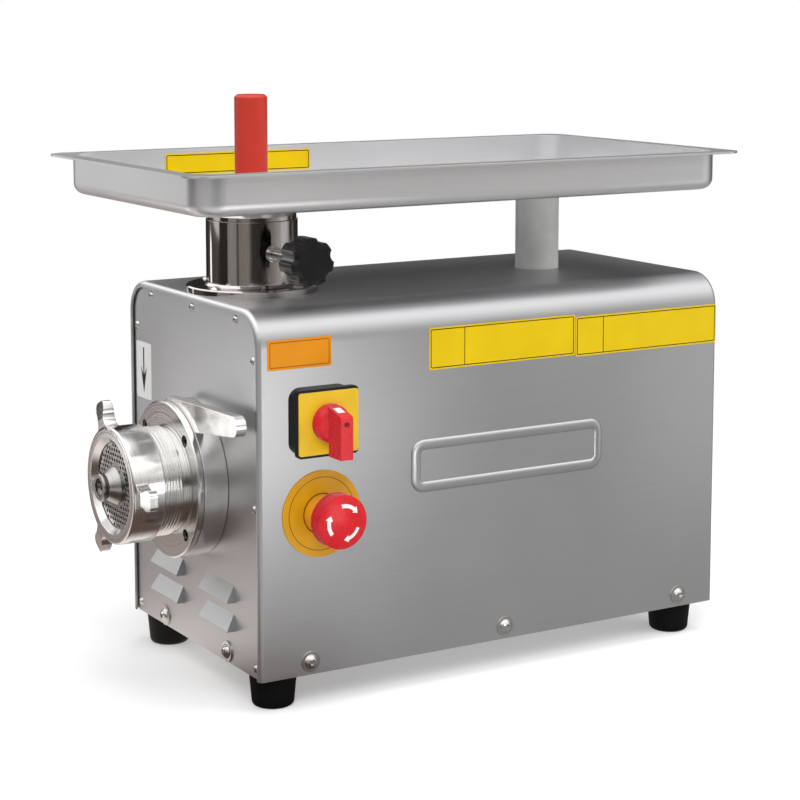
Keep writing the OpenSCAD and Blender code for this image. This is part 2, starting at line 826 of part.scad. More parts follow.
plunger_r = neck_bore - 1;
plunger_l = 105;
stop_flange_r = neck_bore + 8;

// Plunger, stop flange that rests on the tray's floor, and a straight handle
module pusher() {
    floor_z = tray_z + tray_t + part_gap;
    tip = 2;
    color(red) place() translate([throat_x, 0, floor_z]) {
        translate([0, 0, -plunger_l]) cylinder(h = 4, r1 = plunger_r - 4, r2 = plunger_r);
        translate([0, 0, 4 - plunger_l]) cylinder(h = plunger_l - 4, r = plunger_r);
        cylinder(h = 5, r = stop_flange_r);
        translate([0, 0, 5]) cylinder(h = 10, r1 = handle_r + 5, r2 = handle_r);
        cylinder(h = rim_z + handle_h - floor_z - tip, r = handle_r);
        translate([0, 0, rim_z + handle_h - floor_z - tip])
            cylinder(h = tip, r1 = handle_r, r2 = handle_r - tip);
    }
}

// ---------- grinding head ----------

flange_screw_r = 50.5;
sleeve_r = 49;
port_r = throat_r + slip_gap + 2.5;
screw_seat = 2.4;
port_bore = throat_bore - 1.5;
knife_cavity_r = 33;

// Barrel casting: thread, flange, spigot inside the housing and feed port on top
module head_barrel() {
    front = plate_x + part_gap;
    thread_back = flange_x - 3;
    turns = floor((thread_back - front) / thread_pitch);
    color(cast) place() difference() {
        union() {
            spin_x() union() {
                translate([front, 0]) square([thread_back - front, thread_r - 1.3]);
                for (i = [0 : turns - 1]) translate([front + i * thread_pitch, thread_r - 1.4])
                    polygon([[0, 0], [thread_pitch, 0],
                             [thread_pitch * 0.62, 1.4], [thread_pitch * 0.38, 1.4]]);
            }
            rod_x(thread_back - eps, 3 + 2 * eps, thread_r - 2);
            rod_x(flange_x, flange_t - 1, flange_r);
            cone_x(flange_x - 1 + eps, 1, flange_r - 1, flange_r);
            rod_x(flange_x + flange_t - 1 - eps, 1 + eps, flange_r - 0.5);
            rod_x(flange_x + flange_t - eps, barrel_back - flange_x - flange_t, spigot_r);
            translate([throat_x, 0, axis_z]) cylinder(h = throat_foot + 20 - axis_z, r = port_r);
        }
        rod_x(plate_x - 1, knife_x - plate_x + 1, plate_r + 0.1);
        rod_x(knife_x - eps, knife_t, knife_cavity_r);
        rod_x(auger_x - 1, barrel_back - auger_x + 2, barrel_bore);
        translate([throat_x, 0, axis_z]) cylinder(h = throat_foot + 30 - axis_z, r = port_bore);
        translate([throat_x, 0, throat_foot - part_gap]) cylinder(h = 40, r = throat_r + slip_gap);
        for (a = [45 : 90 : 315])
            translate([flange_x - 2, flange_screw_r * cos(a), axis_z + flange_screw_r * sin(a)])
                rotate([0, 90, 0]) {
                cylinder(h = flange_t + 4, r = 2.7);
                cylinder(h = 2 + screw_seat, r = 4.7);
            }
    }
}

module flange_screws() {
    color(dark) place() for (a = [45 : 90 : 315])
        translate([flange_x + screw_seat, flange_screw_r * cos(a), axis_z + flange_screw_r * sin(a)])
            rotate([0, -90, 0]) difference() {
                union() {
                    cylinder(h = screw_seat - 0.2, r = 4.4);
                    translate([0, 0, screw_seat - flange_t + 0.2])
                        cylinder(h = flange_t - screw_seat, r = 2.5);
                }
                translate([0, 0, 0.8]) cylinder(h = 4, r = 2.3, $fn = 6);
            }
}

lever_t = 8;
lever_x = collar_x + lever_t / 2;
lever_rise = 4.2;
lever_tip_r = 7.8;
lug_depth = 4;
bayonet_t = 6;

// Bayonet collar that holds the barrel: grip ring, sleeve through the panel and three lugs
module lock_collar() {
    lever_z = axis_z + flange_r - lever_h / 2 + 3;
    lug_x = panel_back + bayonet_t + 0.4;
    color(cast) place() difference() {
        union() {
            rod_x(collar_x, collar_back - collar_x, flange_r);
            rod_x(collar_x, lug_x + lug_depth - collar_x, sleeve_r);
            for (a = [0, 120, 240]) along_x(lug_x, lug_depth) translate([0, axis_z]) rotate(a)
                intersection() {
                    circle(sleeve_r + 5);
                    polygon([[0, 0], [70, -25], [70, 25]]);
                }
            translate([lever_x - lever_t / 2, 0, lever_z]) rotate([-lever_rise, 0, 0])
                rotate([90, 0, 90]) linear_extrude(lever_t) {
                    polygon([[6, lever_h / 2], [6, -lever_h / 2],
                             [lever_tip_r - lever_l, -lever_tip_r], [lever_tip_r - lever_l, lever_tip_r]]);
                    translate([lever_tip_r - lever_l, 0]) circle(lever_tip_r);
                }
        }
        rod_x(collar_x - 1, 60, spigot_r + run_fit);
    }
}

// Fixed ring behind the panel that the collar's lugs draw up against
module bayonet_ring() {
    color(cast) place() difference() {
        rod_x(panel_back, bayonet_t, 66);
        rod_x(panel_back - 1, 12, sleeve_r + part_gap);
        for (a = [60, 180, 300]) along_x(panel_back - 1, 12) translate([0, axis_z]) rotate(a)
            intersection() {
                circle(sleeve_r + 5.5);
                polygon([[0, 0], [70, -28], [70, 28]]);
            }
    }
}

lug_angles = [66, 180, 302];
lug_t = 10;

// Outline of one lug, pointing along +X from the axis, with its fillets
module lug_outline() {
    half = 6;
    fillet = 10;
    difference() {
        union() {
            translate([ring_r - 4, -half]) square([lug_reach - ring_r + 1, 2 * half]);
            translate([lug_reach - 5.5, 0]) rounded_rect(11, 2 * half + 3, 4);
            translate([ring_r - 5, -half - 7]) square([9, 2 * half + 14]);
        }
        for (s = [-1, 1]) translate([ring_r + 7, s * (half + fillet - 0.6)]) circle(fillet);
    }
}

module ring_nut() {
    bevel = 4;
    color(bright) place() difference() {
        union() {
            spin_x() difference() {
                union() {
                    translate([ring_x + 2, 0]) square([ring_l - 3, ring_r]);
                    translate([ring_x, 0]) square([ring_l, ring_r - 2]);
                    translate([ring_x + 2, ring_r - 2]) circle(2);
                    translate([ring_back - 1, ring_r - 2]) square([1, 1]);
                }
                polygon([[ring_x - 1, -1], [ring_x - 1, mouth_r + bevel + 1], [ring_x + bevel, mouth_r],
                         [plate_x, mouth_r], [plate_x, -1]]);
            }
            for (a = lug_angles) intersection() {
                along_x(ring_x + 2, lug_t) translate([0, axis_z]) rotate(a) lug_outline();
                spin_x() polygon([[ring_x + 1, 0], [ring_x + 1, ring_r], [ring_x + 4, lug_reach + 1],
                                  [ring_x + lug_t, lug_reach + 1], [ring_x + lug_t + 3, ring_r],
                                  [ring_x + lug_t + 3, 0]]);
            }
        }
        rod_x(plate_x - part_gap, ring_back - plate_x + 2, thread_r + 0.1);
    }
}

pin_r = 5;
bush_r = 8;
hub_r = 10.5;
hub_base_r = 15;

// Perforated plate: holes on a triangular grid between the hub and the rim
module cutting_plate() {
    rows = floor(plate_r / (hole_pitch * 0.866));
    spots = [for (j = [-rows : rows], i = [-9 : 9])
             let (p = [hole_pitch * (i + (abs(j) % 2) / 2), hole_pitch * 0.866 * j])
             if (norm(p) > hub_base_r + hole_r + 0.5 && norm(p) < mouth_r - hole_r) p];
    color(bright) place() along_x(plate_x, plate_t) translate([0, axis_z]) difference() {
        circle(plate_r);
        circle(bush_r);
        for (p = spots) translate(p) circle(hole_r, $fn = 12);
    }
}

// Bearing hub pressed into the plate; it carries the auger's front pin
module plate_hub() {
    color(bright) place() difference() {
        union() {
            rod_x(plate_x, plate_t, bush_r);
            spin_x() polygon([[plate_x, 0], [plate_x, hub_base_r], [plate_x - 2, hub_base_r],
                              [plate_x - 9, hub_r - 1], [head_nose + 3, hub_r - 1],
                              [head_nose + 2, hub_r], [head_nose + 0.8, hub_r],
                              [head_nose, hub_r - 0.8], [head_nose, 0]]);
        }
        rod_x(plate_x - 2, plate_t + 4, pin_r + run_fit);
        rod_x(head_nose - 1, 10, 7);
    }
}

module hub_screw() {
    color(bright) place() difference() {
        rod_x(head_nose + 3, 6, 7);
        translate([head_nose - 1, 0, axis_z]) rotate([0, 90, 0]) cylinder(h = 8, r = 4.6, $fn = 6);
    }
}

knife_square = 12;

// Four-wing knife with a square bore and swept cutting edges
module knife() {
    wing_l = mouth_r - 1;
    color(steel) place() along_x(knife_x + part_gap, knife_t - 2 * part_gap)
        translate([0, axis_z]) difference() {
        union() {
            circle(13);
            for (a = [0 : 90 : 270]) rotate(a) difference() {
                polygon([[0, -8], [wing_l - 3, -3], [wing_l, 0], [wing_l - 1, 6], [12, 9], [0, 8]]);
                translate([21, 16]) circle(9.5);
            }
        }
        square(knife_square + 0.2, center = true);
    }
}

tail_r = 12;
hex_r = 11;
socket_depth = 24;
output_x = 100;

// Feed screw: tapering core, one helical flight, knife square, front pin and driving tail
module auger() {
    back = barrel_back - 6;
    collar_l = 4;
    core_l = back - auger_x;
    flight_l = core_l - collar_l + 0.7;
    turns = flight_l / auger_pitch;
    color(cast) place() {
        rod_x(plate_x + 1, plate_t, pin_r);
        along_x(knife_x, knife_t + 1) translate([0, axis_z]) square(knife_square, center = true);
        translate([auger_x, 0, axis_z]) rotate([0, 90, 0]) cylinder(h = core_l, r1 = 11, r2 = 15, $fn = 32);
        translate([auger_x + 0.6, 0, axis_z]) rotate([90, 0, 90])
            linear_extrude(flight_l, twist = 360 * turns, slices = round(turns * 20), segments = 8)
                flight_section();
        rod_x(back - collar_l, collar_l, barrel_bore - 0.35);
        rod_x(back - 0.5, output_x - back + 3.5, tail_r);
        translate([output_x + 2, 0, axis_z]) rotate([0, 90, 0])
            cylinder(h = socket_depth - 4, r = hex_r - 0.3, $fn = 6);
    }
}

// Cross-section of the flight, thick at the core and thin at the crest
module flight_section() {
    crest = barrel_bore - 0.5;
    root_r = 9;
    polygon([[0, 0], [root_r * cos(-42), root_r * sin(-42)],
             for (a = [-12, 0, 12]) [crest * cos(a), crest * sin(a)],
             [root_r * cos(42), root_r * sin(42)]]);
}

// ---------- drive ----------

// Involute of the base circle, as an angle in degrees at radius r
function involute_angle(r, base) = sqrt(max(0, r * r / (base * base) - 1)) * 180 / PI
                                   - acos(min(1, base / r));

// Outline of a spur gear with a tooth centred on angle 0
function gear_points(teeth, m) =
    let (pitch_r = m * teeth / 2, base = pitch_r * cos(20),
         root = pitch_r - 1.25 * m, tip = pitch_r + 0.8 * m,
         half = 90 / teeth * 0.93, flat = involute_angle(pitch_r, base),
         radii = [root, max(base, root + 0.2), (base + tip) / 2, tip],
         flank = [for (i = [0 : 3]) [radii[i], half + flat - involute_angle(radii[i], base)
                                               - (i == 0 ? half * 0.12 : 0)]])
    [for (k = [0 : teeth - 1], side = [-1, 1], i = [0 : 3])
     let (f = flank[side < 0 ? i : 3 - i], a = 360 * k / teeth + side * f[1])
     f[0] * [cos(a), sin(a)]];

module spur_gear(teeth, m, x, z, phase, bore) {
    along_x(x, gear_w) translate([0, z]) difference() {
        rotate(phase) polygon(gear_points(teeth, m));
        if (bore > 0) circle(bore);
    }
}

output_r = 20;
output_step_r = 17;
counter_r = 10;
motor_shaft_r = 8;
output_bearing_r = 34;
counter_bearing_r = 17;
motor_bearing_r = 17;
bearing_w = 12;
front_bearing_x = output_x + 8;
rear_bearing_x = box_x - 4;
counter_front_x = box_x + 2;
counter_rear_x = box_back - 6;
motor_front_x = bell_x;
motor_rear_x = can_back - 2;

module output_gear() {
    color(steel) place()
        spur_gear(wheel_2_teeth, module_2, wheel_2_x, axis_z, -90 + 180 / wheel_2_teeth, output_step_r);
}

module output_shaft() {
    color(steel) place() difference() {
        union() {
            rod_x(output_x, rear_bearing_x + bearing_w - output_x, output_r);
            rod_x(rear_bearing_x, wheel_2_x + gear_w + 4 - rear_bearing_x, output_step_r);
        }
        translate([output_x - 1, 0, axis_z]) rotate([0, 90, 0])
            cylinder(h = socket_depth + 1, r = hex_r, $fn = 6);
        rod_x(output_x - 1, 5, tail_r + slip_gap);
    }
}

module countershaft() {
    color(steel) place() {
        rod_x(counter_front_x, counter_rear_x + bearing_w - 1 - counter_front_x, counter_r, counter_z);
        spur_gear(pinion_teeth, module_2, wheel_2_x, counter_z, 90, 0);
    }
}

module counter_gear() {
    color(steel) place()
        spur_gear(wheel_1_teeth, module_1, wheel_1_x, counter_z, 90 + 180 / wheel_1_teeth, counter_r);
}

module motor_pinion() {
    color(steel) place() spur_gear(pinion_teeth, module_1, wheel_1_x, motor_z, -90, motor_shaft_r);
}

module gearbox_void() {
    for (z = [axis_z, counter_z]) translate([0, z]) circle(51);
    translate([-51, counter_z]) square([102, axis_z - counter_z]);
}

// Cast case: snout for the output bearings, gear chamber open to the rear, and feet
module gearbox_housing() {
    color([0.5, 0.52, 0.54]) place() difference() {
        union() {
            rod_x(barrel_back - 3, box_x - barrel_back + 4, spigot_r + 6);
            along_x(box_x, box_back - box_x) {
                for (z = [axis_z, counter_z]) translate([0, z]) circle(51 + box_wall);
                translate([-51 - box_wall, counter_z]) square([2 * (51 + box_wall), axis_z - counter_z]);
            }
            for (s = [-1, 1]) translate([box_x + 4, s * 45 - 12, base_z + base_t])
                cube([box_back - box_x - 8, 24, counter_z - base_z - base_t - 20]);
        }
        rod_x(barrel_back - 4, 4 + slip_gap, spigot_r + slip_gap);
        rod_x(barrel_back - 1, 20, output_bearing_r - 2);
        rod_x(front_bearing_x, rear_bearing_x + bearing_w - front_bearing_x, output_bearing_r);
        difference() {
            along_x(box_x + box_wall, box_back) gearbox_void();
            rod_x(box_x, box_wall + 4, counter_bearing_r + 5, counter_z);
        }
        rod_x(box_x, box_wall + 20, output_step_r + 6);
        rod_x(counter_front_x, 40, counter_bearing_r, counter_z);
    }
}

cover_screw_spots = [for (a = [20, 90, 160]) [55 * cos(a), axis_z + 55 * sin(a)],
                     for (a = [200, 270, 340]) [55 * cos(a), counter_z + 55 * sin(a)]];

module gearbox_cover() {
    color([0.5, 0.52, 0.54]) place() difference() {
        union() {
            along_x(box_back, cover_t) {
                for (z = [axis_z, counter_z]) translate([0, z]) circle(51 + box_wall);
                translate([-51 - box_wall, counter_z]) square([2 * (51 + box_wall), axis_z - counter_z]);
            }
            rod_x(counter_rear_x - 2, box_back - counter_rear_x + 3, counter_bearing_r + 4, counter_z);
        }
        rod_x(counter_rear_x - 3, bearing_w + 3 - part_gap, counter_bearing_r, counter_z);
        rod_x(box_back - 1, 30, motor_shaft_r + 4, motor_z);
        along_x(box_back - 1, 30) for (p = cover_screw_spots) translate(p) circle(2.2);
    }
}

module cover_screws() {
    color(bright) place() for (p = cover_screw_spots)
        translate([box_back + cover_t, p[0], p[1]]) rotate([0, 90, 0]) socket_screw(3.6, 0.4, 2.2, cover_t);
}

module oil_seal() {
    color(dark) place() ring_on_x(output_x + 2, 5, output_bearing_r - 2, output_r + run_fit);
}

module bearings() {
    color(bright) place() {
        ring_on_x(front_bearing_x, bearing_w, output_bearing_r, output_r + run_fit);
        ring_on_x(rear_bearing_x, bearing_w, output_bearing_r, output_r + run_fit);
        ring_on_x(counter_front_x, bearing_w, counter_bearing_r, counter_r + run_fit, counter_z);
        ring_on_x(counter_rear_x, bearing_w - 1, counter_bearing_r, counter_r + run_fit, counter_z);
        ring_on_x(motor_front_x, bearing_w, motor_bearing_r, motor_shaft_r + run_fit, motor_z);
        ring_on_x(motor_rear_x, bearing_w, motor_bearing_r, motor_shaft_r + run_fit, motor_z);
    }
}

core_x = can_x + 24;
core_l = motor_l - 52;
rotor_r = 42;

module motor_rotor() {
    color(steel) place() {
        rod_x(wheel_1_x - 3, can_back + bell_t + 16 - wheel_1_x + 3, motor_shaft_r, motor_z);
        rod_x(core_x, core_l, rotor_r, motor_z);
        for (x = [core_x - 8, core_x + core_l]) ring_on_x(x, 8, rotor_r - 4, 24, motor_z);
    }
}

module motor_stator() {
    color([0.45, 0.3, 0.2]) place() {
        difference() {
            ring_on_x(core_x, core_l, motor_r - 4, rotor_r + 0.5, motor_z);
            for (i = [0 : 23]) along_x(core_x - 1, core_l + 2) translate([0, motor_z])
                rotate(i * 15) translate([rotor_r + 4, -1.8]) square([14, 3.6]);
        }
        for (x = [core_x - 14, core_x + core_l]) ring_on_x(x, 14, motor_r - 7, rotor_r + 4, motor_z);
    }
}

module motor_can() {
    color([0.35, 0.38, 0.42]) place() difference() {
        union() {
            rod_x(can_x, motor_l, motor_r, motor_z);
            for (i = [0 : 35]) along_x(can_x + 12, motor_l - 24) translate([0, motor_z])
                rotate(i * 10) translate([motor_r - 1, -0.8]) square([4, 1.6]);
        }
        rod_x(can_x - 1, motor_l + 2, motor_r - 4, motor_z);
    }
}

// End bells: a spigot in the can and a pocket for the bearing
module motor_bells() {
    color([0.35, 0.38, 0.42]) place() {
        difference() {
            union() {
                rod_x(bell_x, bell_t, motor_r, motor_z);
                rod_x(can_x - eps, 5, motor_r - 4 - run_fit, motor_z);
            }
            rod_x(bell_x - 1, 3, motor_shaft_r + 2, motor_z);
            rod_x(bell_x, 20, motor_bearing_r, motor_z);
        }
        difference() {
            union() {
                rod_x(can_back, bell_t, motor_r, motor_z);
                rod_x(can_back - 5, 5 + eps, motor_r - 4 - run_fit, motor_z);
            }
            rod_x(can_back - 6, 10 + bell_t - 1, motor_bearing_r, motor_z);
            rod_x(can_back, 30, motor_shaft_r + 2, motor_z);
        }
    }
}

// Two saddles on a foot plate, bolted to the base
module motor_cradle() {
    saddle_r = motor_r + 3 + part_gap;
    color(steel) place() difference() {
        union() {
            translate([can_x + 4, -56, base_z + base_t]) cube([motor_l - 8, 112, 4]);
            for (x = [can_x + 4, can_back - 12]) translate([x, -56, base_z + base_t])
                cube([8, 112, motor_z - 50 - base_z - base_t]);
        }
        rod_x(can_x - 1, motor_l + 2, saddle_r, motor_z);
        for (x = [can_x, can_back - 13]) rod_x(x, 14, motor_r + slip_gap, motor_z);
    }
}

module cooling_fan() {
    x = can_back + bell_t + 3;
    color(dark) place() difference() {
        union() {
            rod_x(x, 2, 56, motor_z);
            rod_x(x, 12, 14, motor_z);
            for (i = [0 : 8]) along_x(x, 11) translate([0, motor_z]) rotate(i * 40)
                translate([12, -1]) square([44, 2]);
        }
        rod_x(x - 1, 20, motor_shaft_r, motor_z);
    }
}

capacitor_r = 19;
capacitor_y = inner_y - base_t - capacitor_r - 6.5;
terminal_y = base_t + slip_gap + 3 - inner_y;

module run_capacitor() {
    z = base_z + base_t + capacitor_r + 1.3;
    color([0.85, 0.85, 0.87]) place() {
        rod_x(can_x + 10, 84, capacitor_r, z, capacitor_y);
        rod_x(can_x + 94 - eps, 6, capacitor_r - 5, z, capacitor_y);
        for (x = [can_x + 22, can_x + 74]) difference() {
            union() {
                ring_on_x(x, 6, capacitor_r + 1, capacitor_r - eps, z, capacitor_y);
                translate([x, capacitor_y - 12, base_z + base_t]) cube([6, 24, 8]);
            }
            rod_x(x - 1, 8, capacitor_r - eps, z, capacitor_y);
        }
    }
}

module terminal_block() {
    color([0.9, 0.9, 0.86]) place() translate([can_x + 20, terminal_y, base_z + base_t]) difference() {
        cube([66, 26, 18]);
        for (i = [0 : 5]) translate([3 + i * 10.5, 4, 6]) {
            cube([8, 6, 13]);
            translate([0, 12, 0]) cube([8, 6, 13]);
        }
    }
}

housing_shell();
front_frame();
rear_frame();
front_panel();
rear_panel();
base_plate();
feet();
foot_bolts();
panel_screws();
base_screws();
side_screws();
cable_gland();
switch_body();
switch_plate();
switch_handle();
switch_block();
stop_disc();
stop_collar();
stop_button();
stop_stem();
stop_block();
throat_tube();
throat_screws();
lock_knob();
lock_stud();
tray();
tray_neck();
support_pillar();
pillar_screw();
pusher();
head_barrel();
flange_screws();
lock_collar();
bayonet_ring();
ring_nut();
cutting_plate();
plate_hub();
hub_screw();
knife();
auger();
gearbox_housing();
gearbox_cover();
cover_screws();
oil_seal();
bearings();
output_shaft();
output_gear();
countershaft();
counter_gear();
motor_pinion();
motor_rotor();
motor_stator();
motor_can();
motor_bells();
motor_cradle();
cooling_fan();
run_capacitor();
terminal_block();
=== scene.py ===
"""Electric meat grinder: finishes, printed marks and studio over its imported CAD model."""
import math

import bmesh
import bpy
from bpy.props import FloatProperty, PointerProperty, StringProperty
from mathutils import Matrix, Vector


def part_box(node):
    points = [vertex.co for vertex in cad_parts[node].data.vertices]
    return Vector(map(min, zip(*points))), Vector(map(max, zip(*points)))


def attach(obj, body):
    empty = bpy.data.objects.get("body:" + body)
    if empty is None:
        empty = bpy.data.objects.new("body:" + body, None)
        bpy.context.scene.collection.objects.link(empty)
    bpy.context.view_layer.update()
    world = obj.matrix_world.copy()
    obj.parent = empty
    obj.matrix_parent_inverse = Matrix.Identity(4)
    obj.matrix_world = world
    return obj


bl_info = {
    "name": "Electric meat grinder",
    "version": (1, 0, 0),
    "blender": (4, 5, 0),
    "location": "View3D > Sidebar > Grinder",
    "description": "Finishes, labels and marks for a bench-top meat grinder",
    "category": "Object",
}

MM = 0.001
WHITE = (1, 1, 1, 1)
# how far printing stands out, and how far it reaches in where it has no film, in millimetres
INK_RISE, INK_ROOT = 0.03, 0.02

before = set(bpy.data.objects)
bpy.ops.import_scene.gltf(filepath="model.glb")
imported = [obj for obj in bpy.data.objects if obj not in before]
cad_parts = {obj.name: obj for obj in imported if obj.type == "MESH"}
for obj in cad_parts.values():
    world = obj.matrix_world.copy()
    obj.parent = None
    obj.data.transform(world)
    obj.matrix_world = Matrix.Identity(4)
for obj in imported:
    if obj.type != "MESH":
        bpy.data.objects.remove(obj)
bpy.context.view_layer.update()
SHELL_LOW, SHELL_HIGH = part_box("housing_shell")
NEAR_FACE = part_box("stop_disc")[1].y
MIDDLE_Y = (NEAR_FACE + SHELL_HIGH.y) / 2
HEAD_AXIS_Z = sum(corner.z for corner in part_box("cutting_plate")) / 2


def place(x, y, z):
    """A point in millimetres: x from the front lip, y from the middle plane, z from the floor."""
    return Vector((SHELL_LOW.x + x * MM, MIDDLE_Y + y * MM, z * MM))


# places on the machine, in the millimetres that place() takes
NEAR_Y = (NEAR_FACE - MIDDLE_Y) / MM
PANEL_X = 2.6
FIELD_X, FIELD_Z = 217, 171
ARROW_Y, ARROW_Z = 90.5, 225.75
CAMERA_SPOT = (-674.76, -1433.97, 518.61)
CAMERA_YAW, CAMERA_PITCH = 30.9986, 7.1362
STOP_CENTRE = sum(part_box("stop_button"), Vector()) / 2
DIAL_CENTRE_X = sum(corner.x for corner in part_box("switch_plate")) / 2
DIAL_CENTRE_Z = sum(corner.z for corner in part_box("switch_plate")) / 2


# ---------- nodes ----------

def linear(colour):
    """A hex sRGB colour as linear RGBA."""
    parts = [int(colour.lstrip("#")[i:i + 2], 16) / 255 for i in (0, 2, 4)]
    return [c / 12.92 if c <= 0.04045 else ((c + 0.055) / 1.055) ** 2.4 for c in parts] + [1.0]


def add(tree, kind, inputs=None, stops=(), **settings):
    """Adds a shader node with its settings and a ramp's (position, colour) stops. An input is a
    value, the socket that feeds it, or a node whose first output feeds it."""
    node = tree.nodes.new("ShaderNode" + kind)
    for name, value in settings.items():
        setattr(node, name, value)
    for name, value in (inputs or {}).items():
        if isinstance(value, bpy.types.Node):
            value = value.outputs[0]
        if isinstance(value, bpy.types.NodeSocket):
            tree.links.new(value, node.inputs[name])
        else:
            node.inputs[name].default_value = value
    if stops:
        points = node.color_ramp.elements
        while len(points) < len(stops):
            points.new(0.5)
        for point, (spot, colour) in zip(points, stops):
            point.position = spot
            point.color = colour
    return node


def empty_material(name):
    """A material with no nodes, and its node tree."""
    material = bpy.data.materials.new(name)
    material.use_nodes = True
    material.node_tree.nodes.clear()
    return material, material.node_tree


def new_finish(name, **values):
    """A material with one shader wired to its output."""
    material, tree = empty_material(name)
    shader = add(tree, "BsdfPrincipled", values)
    add(tree, "OutputMaterial", {"Surface": shader.outputs["BSDF"]})
    return material, tree, shader


def in_millimetres(tree, length=(1, 1, 1), turn=(0, 0, 0)):
    """Object coordinates divided by real lengths in millimetres along each axis."""
    where = add(tree, "TexCoord")
    scale = [1 / (side * MM) for side in length]
    return add(tree, "Mapping", {"Vector": where.outputs["Object"], "Rotation": turn,
                                 "Scale": scale}).outputs["Vector"]


def tint(tree, shader, pattern, dark, light):
    """Colours the surface from dark to light over the middle range of a pattern."""
    even = add(tree, "MapRange", {"Value": pattern, "From Min": 0.3, "From Max": 0.7})
    colour = add(tree, "Mix", {0: even, 6: linear(dark), 7: linear(light)}, data_type="RGBA")
    tree.links.new(colour.outputs[2], shader.inputs["Base Color"])


def roughen(tree, shader, pattern, low, high):
    """Runs the roughness from low to high over the middle range of a pattern."""
    even = add(tree, "MapRange", {"Value": pattern, "From Min": 0.3, "From Max": 0.7,
                                  "To Min": low, "To Max": high})
    tree.links.new(even.outputs[0], shader.inputs["Roughness"])


# ---------- finishes ----------

def noise(tree, length, detail=2.0, roughness=0.5, turn=(0, 0, 0)):
    """Noise whose features measure length millimetres along each axis."""
    return add(tree, "TexNoise", {"Vector": in_millimetres(tree, length, turn), "Scale": 1.0,
                                  "Detail": detail, "Roughness": roughness}).outputs["Fac"]


def relief(tree, shader, height, depth_mm, edge_mm=0.4, under=None):
    """Raises the surface by a pattern and rounds its edges in the shading."""
    inputs = {"Height": height, "Strength": 1.0, "Distance": depth_mm * MM}
    if under:
        inputs["Normal"] = under
    bump = add(tree, "Bump", inputs)
    edge = add(tree, "Bevel", {"Radius": edge_mm * MM, "Normal": bump.outputs["Normal"]}, samples=4)
    tree.links.new(edge.outputs["Normal"], shader.inputs["Normal"])
    return bump.outputs["Normal"]


def brushed_stainless(name, light, dark, along, roughness, metal=0.96):
    """Stainless sheet, belt-brushed: fine streaks one way, faint handling marks across it."""
    material, tree, shader = new_finish(name, Metallic=metal)
    # belt grit leaves marks 0.2 mm wide; drawn 0.6 mm wide so that they show
    streak = noise(tree, {"X": (80, 0.6, 0.6), "Y": (0.6, 80, 0.6)}[along], 3.0, 0.6)
    cloud = noise(tree, (110, 110, 110))
    both = add(tree, "Math", {0: streak, 1: cloud}, operation="ADD")
    half = add(tree, "Math", {0: both, 1: 0.5}, operation="MULTIPLY")
    tint(tree, shader, half, dark, light)
    roughen(tree, shader, half, roughness - 0.03, roughness + 0.04)
    relief(tree, shader, streak, 0.003)
    return material


def polished_steel(name, colour, shade, roughness, wave_mm, edge_mm=0.4):
    """Polished stainless: a mirror gone slightly wavy from the buffing wheel, with hair scratches."""
    material, tree, shader = new_finish(name, Metallic=1.0)
    wave = noise(tree, (22, 22, 34), 1.0)
    hair = noise(tree, (0.5, 0.5, 14), 3.0)
    tint(tree, shader, hair, shade, colour)
    roughen(tree, shader, hair, roughness, roughness + 0.05)
    relief(tree, shader, wave, wave_mm, edge_mm)
    return material


# its default colours are lighter than bare stainless: partly the casting's own colour, partly a painted
# highlight for the strong light on the head
def turned_steel(name, colour="#E2E1DF", shade="#CFCDCB", roughness=0.15):
    """Lathe-turned steel: close concentric tool marks round the head's axis."""
    material, tree, shader = new_finish(name, Metallic=1.0)
    where = add(tree, "TexCoord")
    parts = add(tree, "SeparateXYZ", {"Vector": where.outputs["Object"]})
    y = add(tree, "Math", {0: parts.outputs["Y"], 1: MIDDLE_Y}, operation="SUBTRACT")
    z = add(tree, "Math", {0: parts.outputs["Z"], 1: HEAD_AXIS_Z}, operation="SUBTRACT")
    flat = add(tree, "CombineXYZ", {"X": y, "Y": z})
    radius = add(tree, "VectorMath", {0: flat}, operation="LENGTH")
    # a tool feed of 0.35 mm, drawn twice as wide so that it shows
    marks_per_metre = 1 / (0.7 * MM)
    fed = add(tree, "Math", {0: radius.outputs["Value"], 1: marks_per_metre}, operation="MULTIPLY")
    along = add(tree, "Math", {0: parts.outputs["X"], 1: marks_per_metre}, operation="MULTIPLY")
    line = add(tree, "CombineXYZ", {"X": fed, "Y": along})
    marks = add(tree, "TexNoise", {"Vector": line, "Scale": 1.0, "Detail": 2.0}).outputs["Fac"]
    tint(tree, shader, marks, shade, colour)
    roughen(tree, shader, marks, roughness - 0.03, roughness + 0.05)
    relief(tree, shader, marks, 0.006, 0.6)
    return material


# its default colours are lighter than bare stainless: partly the casting's own colour, partly a painted
# highlight for the strong light on the head
def ground_casting(name, colour="#EAE9E7", shade="#DAD8D6", roughness=0.16, metal=1.0):
    """Stainless casting, ground and buffed by hand: soft facets under a bright polish."""
    material, tree, shader = new_finish(name, Metallic=metal)
    facet = noise(tree, (16, 16, 16), 1.0)
    fine = noise(tree, (0.8, 5, 0.8), 3.0)
    tint(tree, shader, facet, shade, colour)
    roughen(tree, shader, fine, roughness - 0.03, roughness + 0.06)
    coarse = add(tree, "Bump", {"Height": facet, "Strength": 1.0, "Distance": 0.3 * MM})
    relief(tree, shader, fine, 0.004, 1.2, coarse.outputs["Normal"])
    return material


def moulded_plastic(name, light, dark, roughness, grain_mm, depth_mm=0.004, edge_mm=0.5, gloss=0.3):
    """Injection-moulded plastic: even colour, slight mottling and a fine spark-eroded grain."""
    material, tree, shader = new_finish(name, **{"IOR": 1.5, "Specular IOR Level": gloss})
    flow = noise(tree, (14, 14, 14))
    grain = noise(tree, (grain_mm,) * 3)
    tint(tree, shader, flow, dark, light)
    roughen(tree, shader, grain, roughness - 0.04, roughness + 0.05)
    relief(tree, shader, grain, depth_mm, edge_mm)
    return material


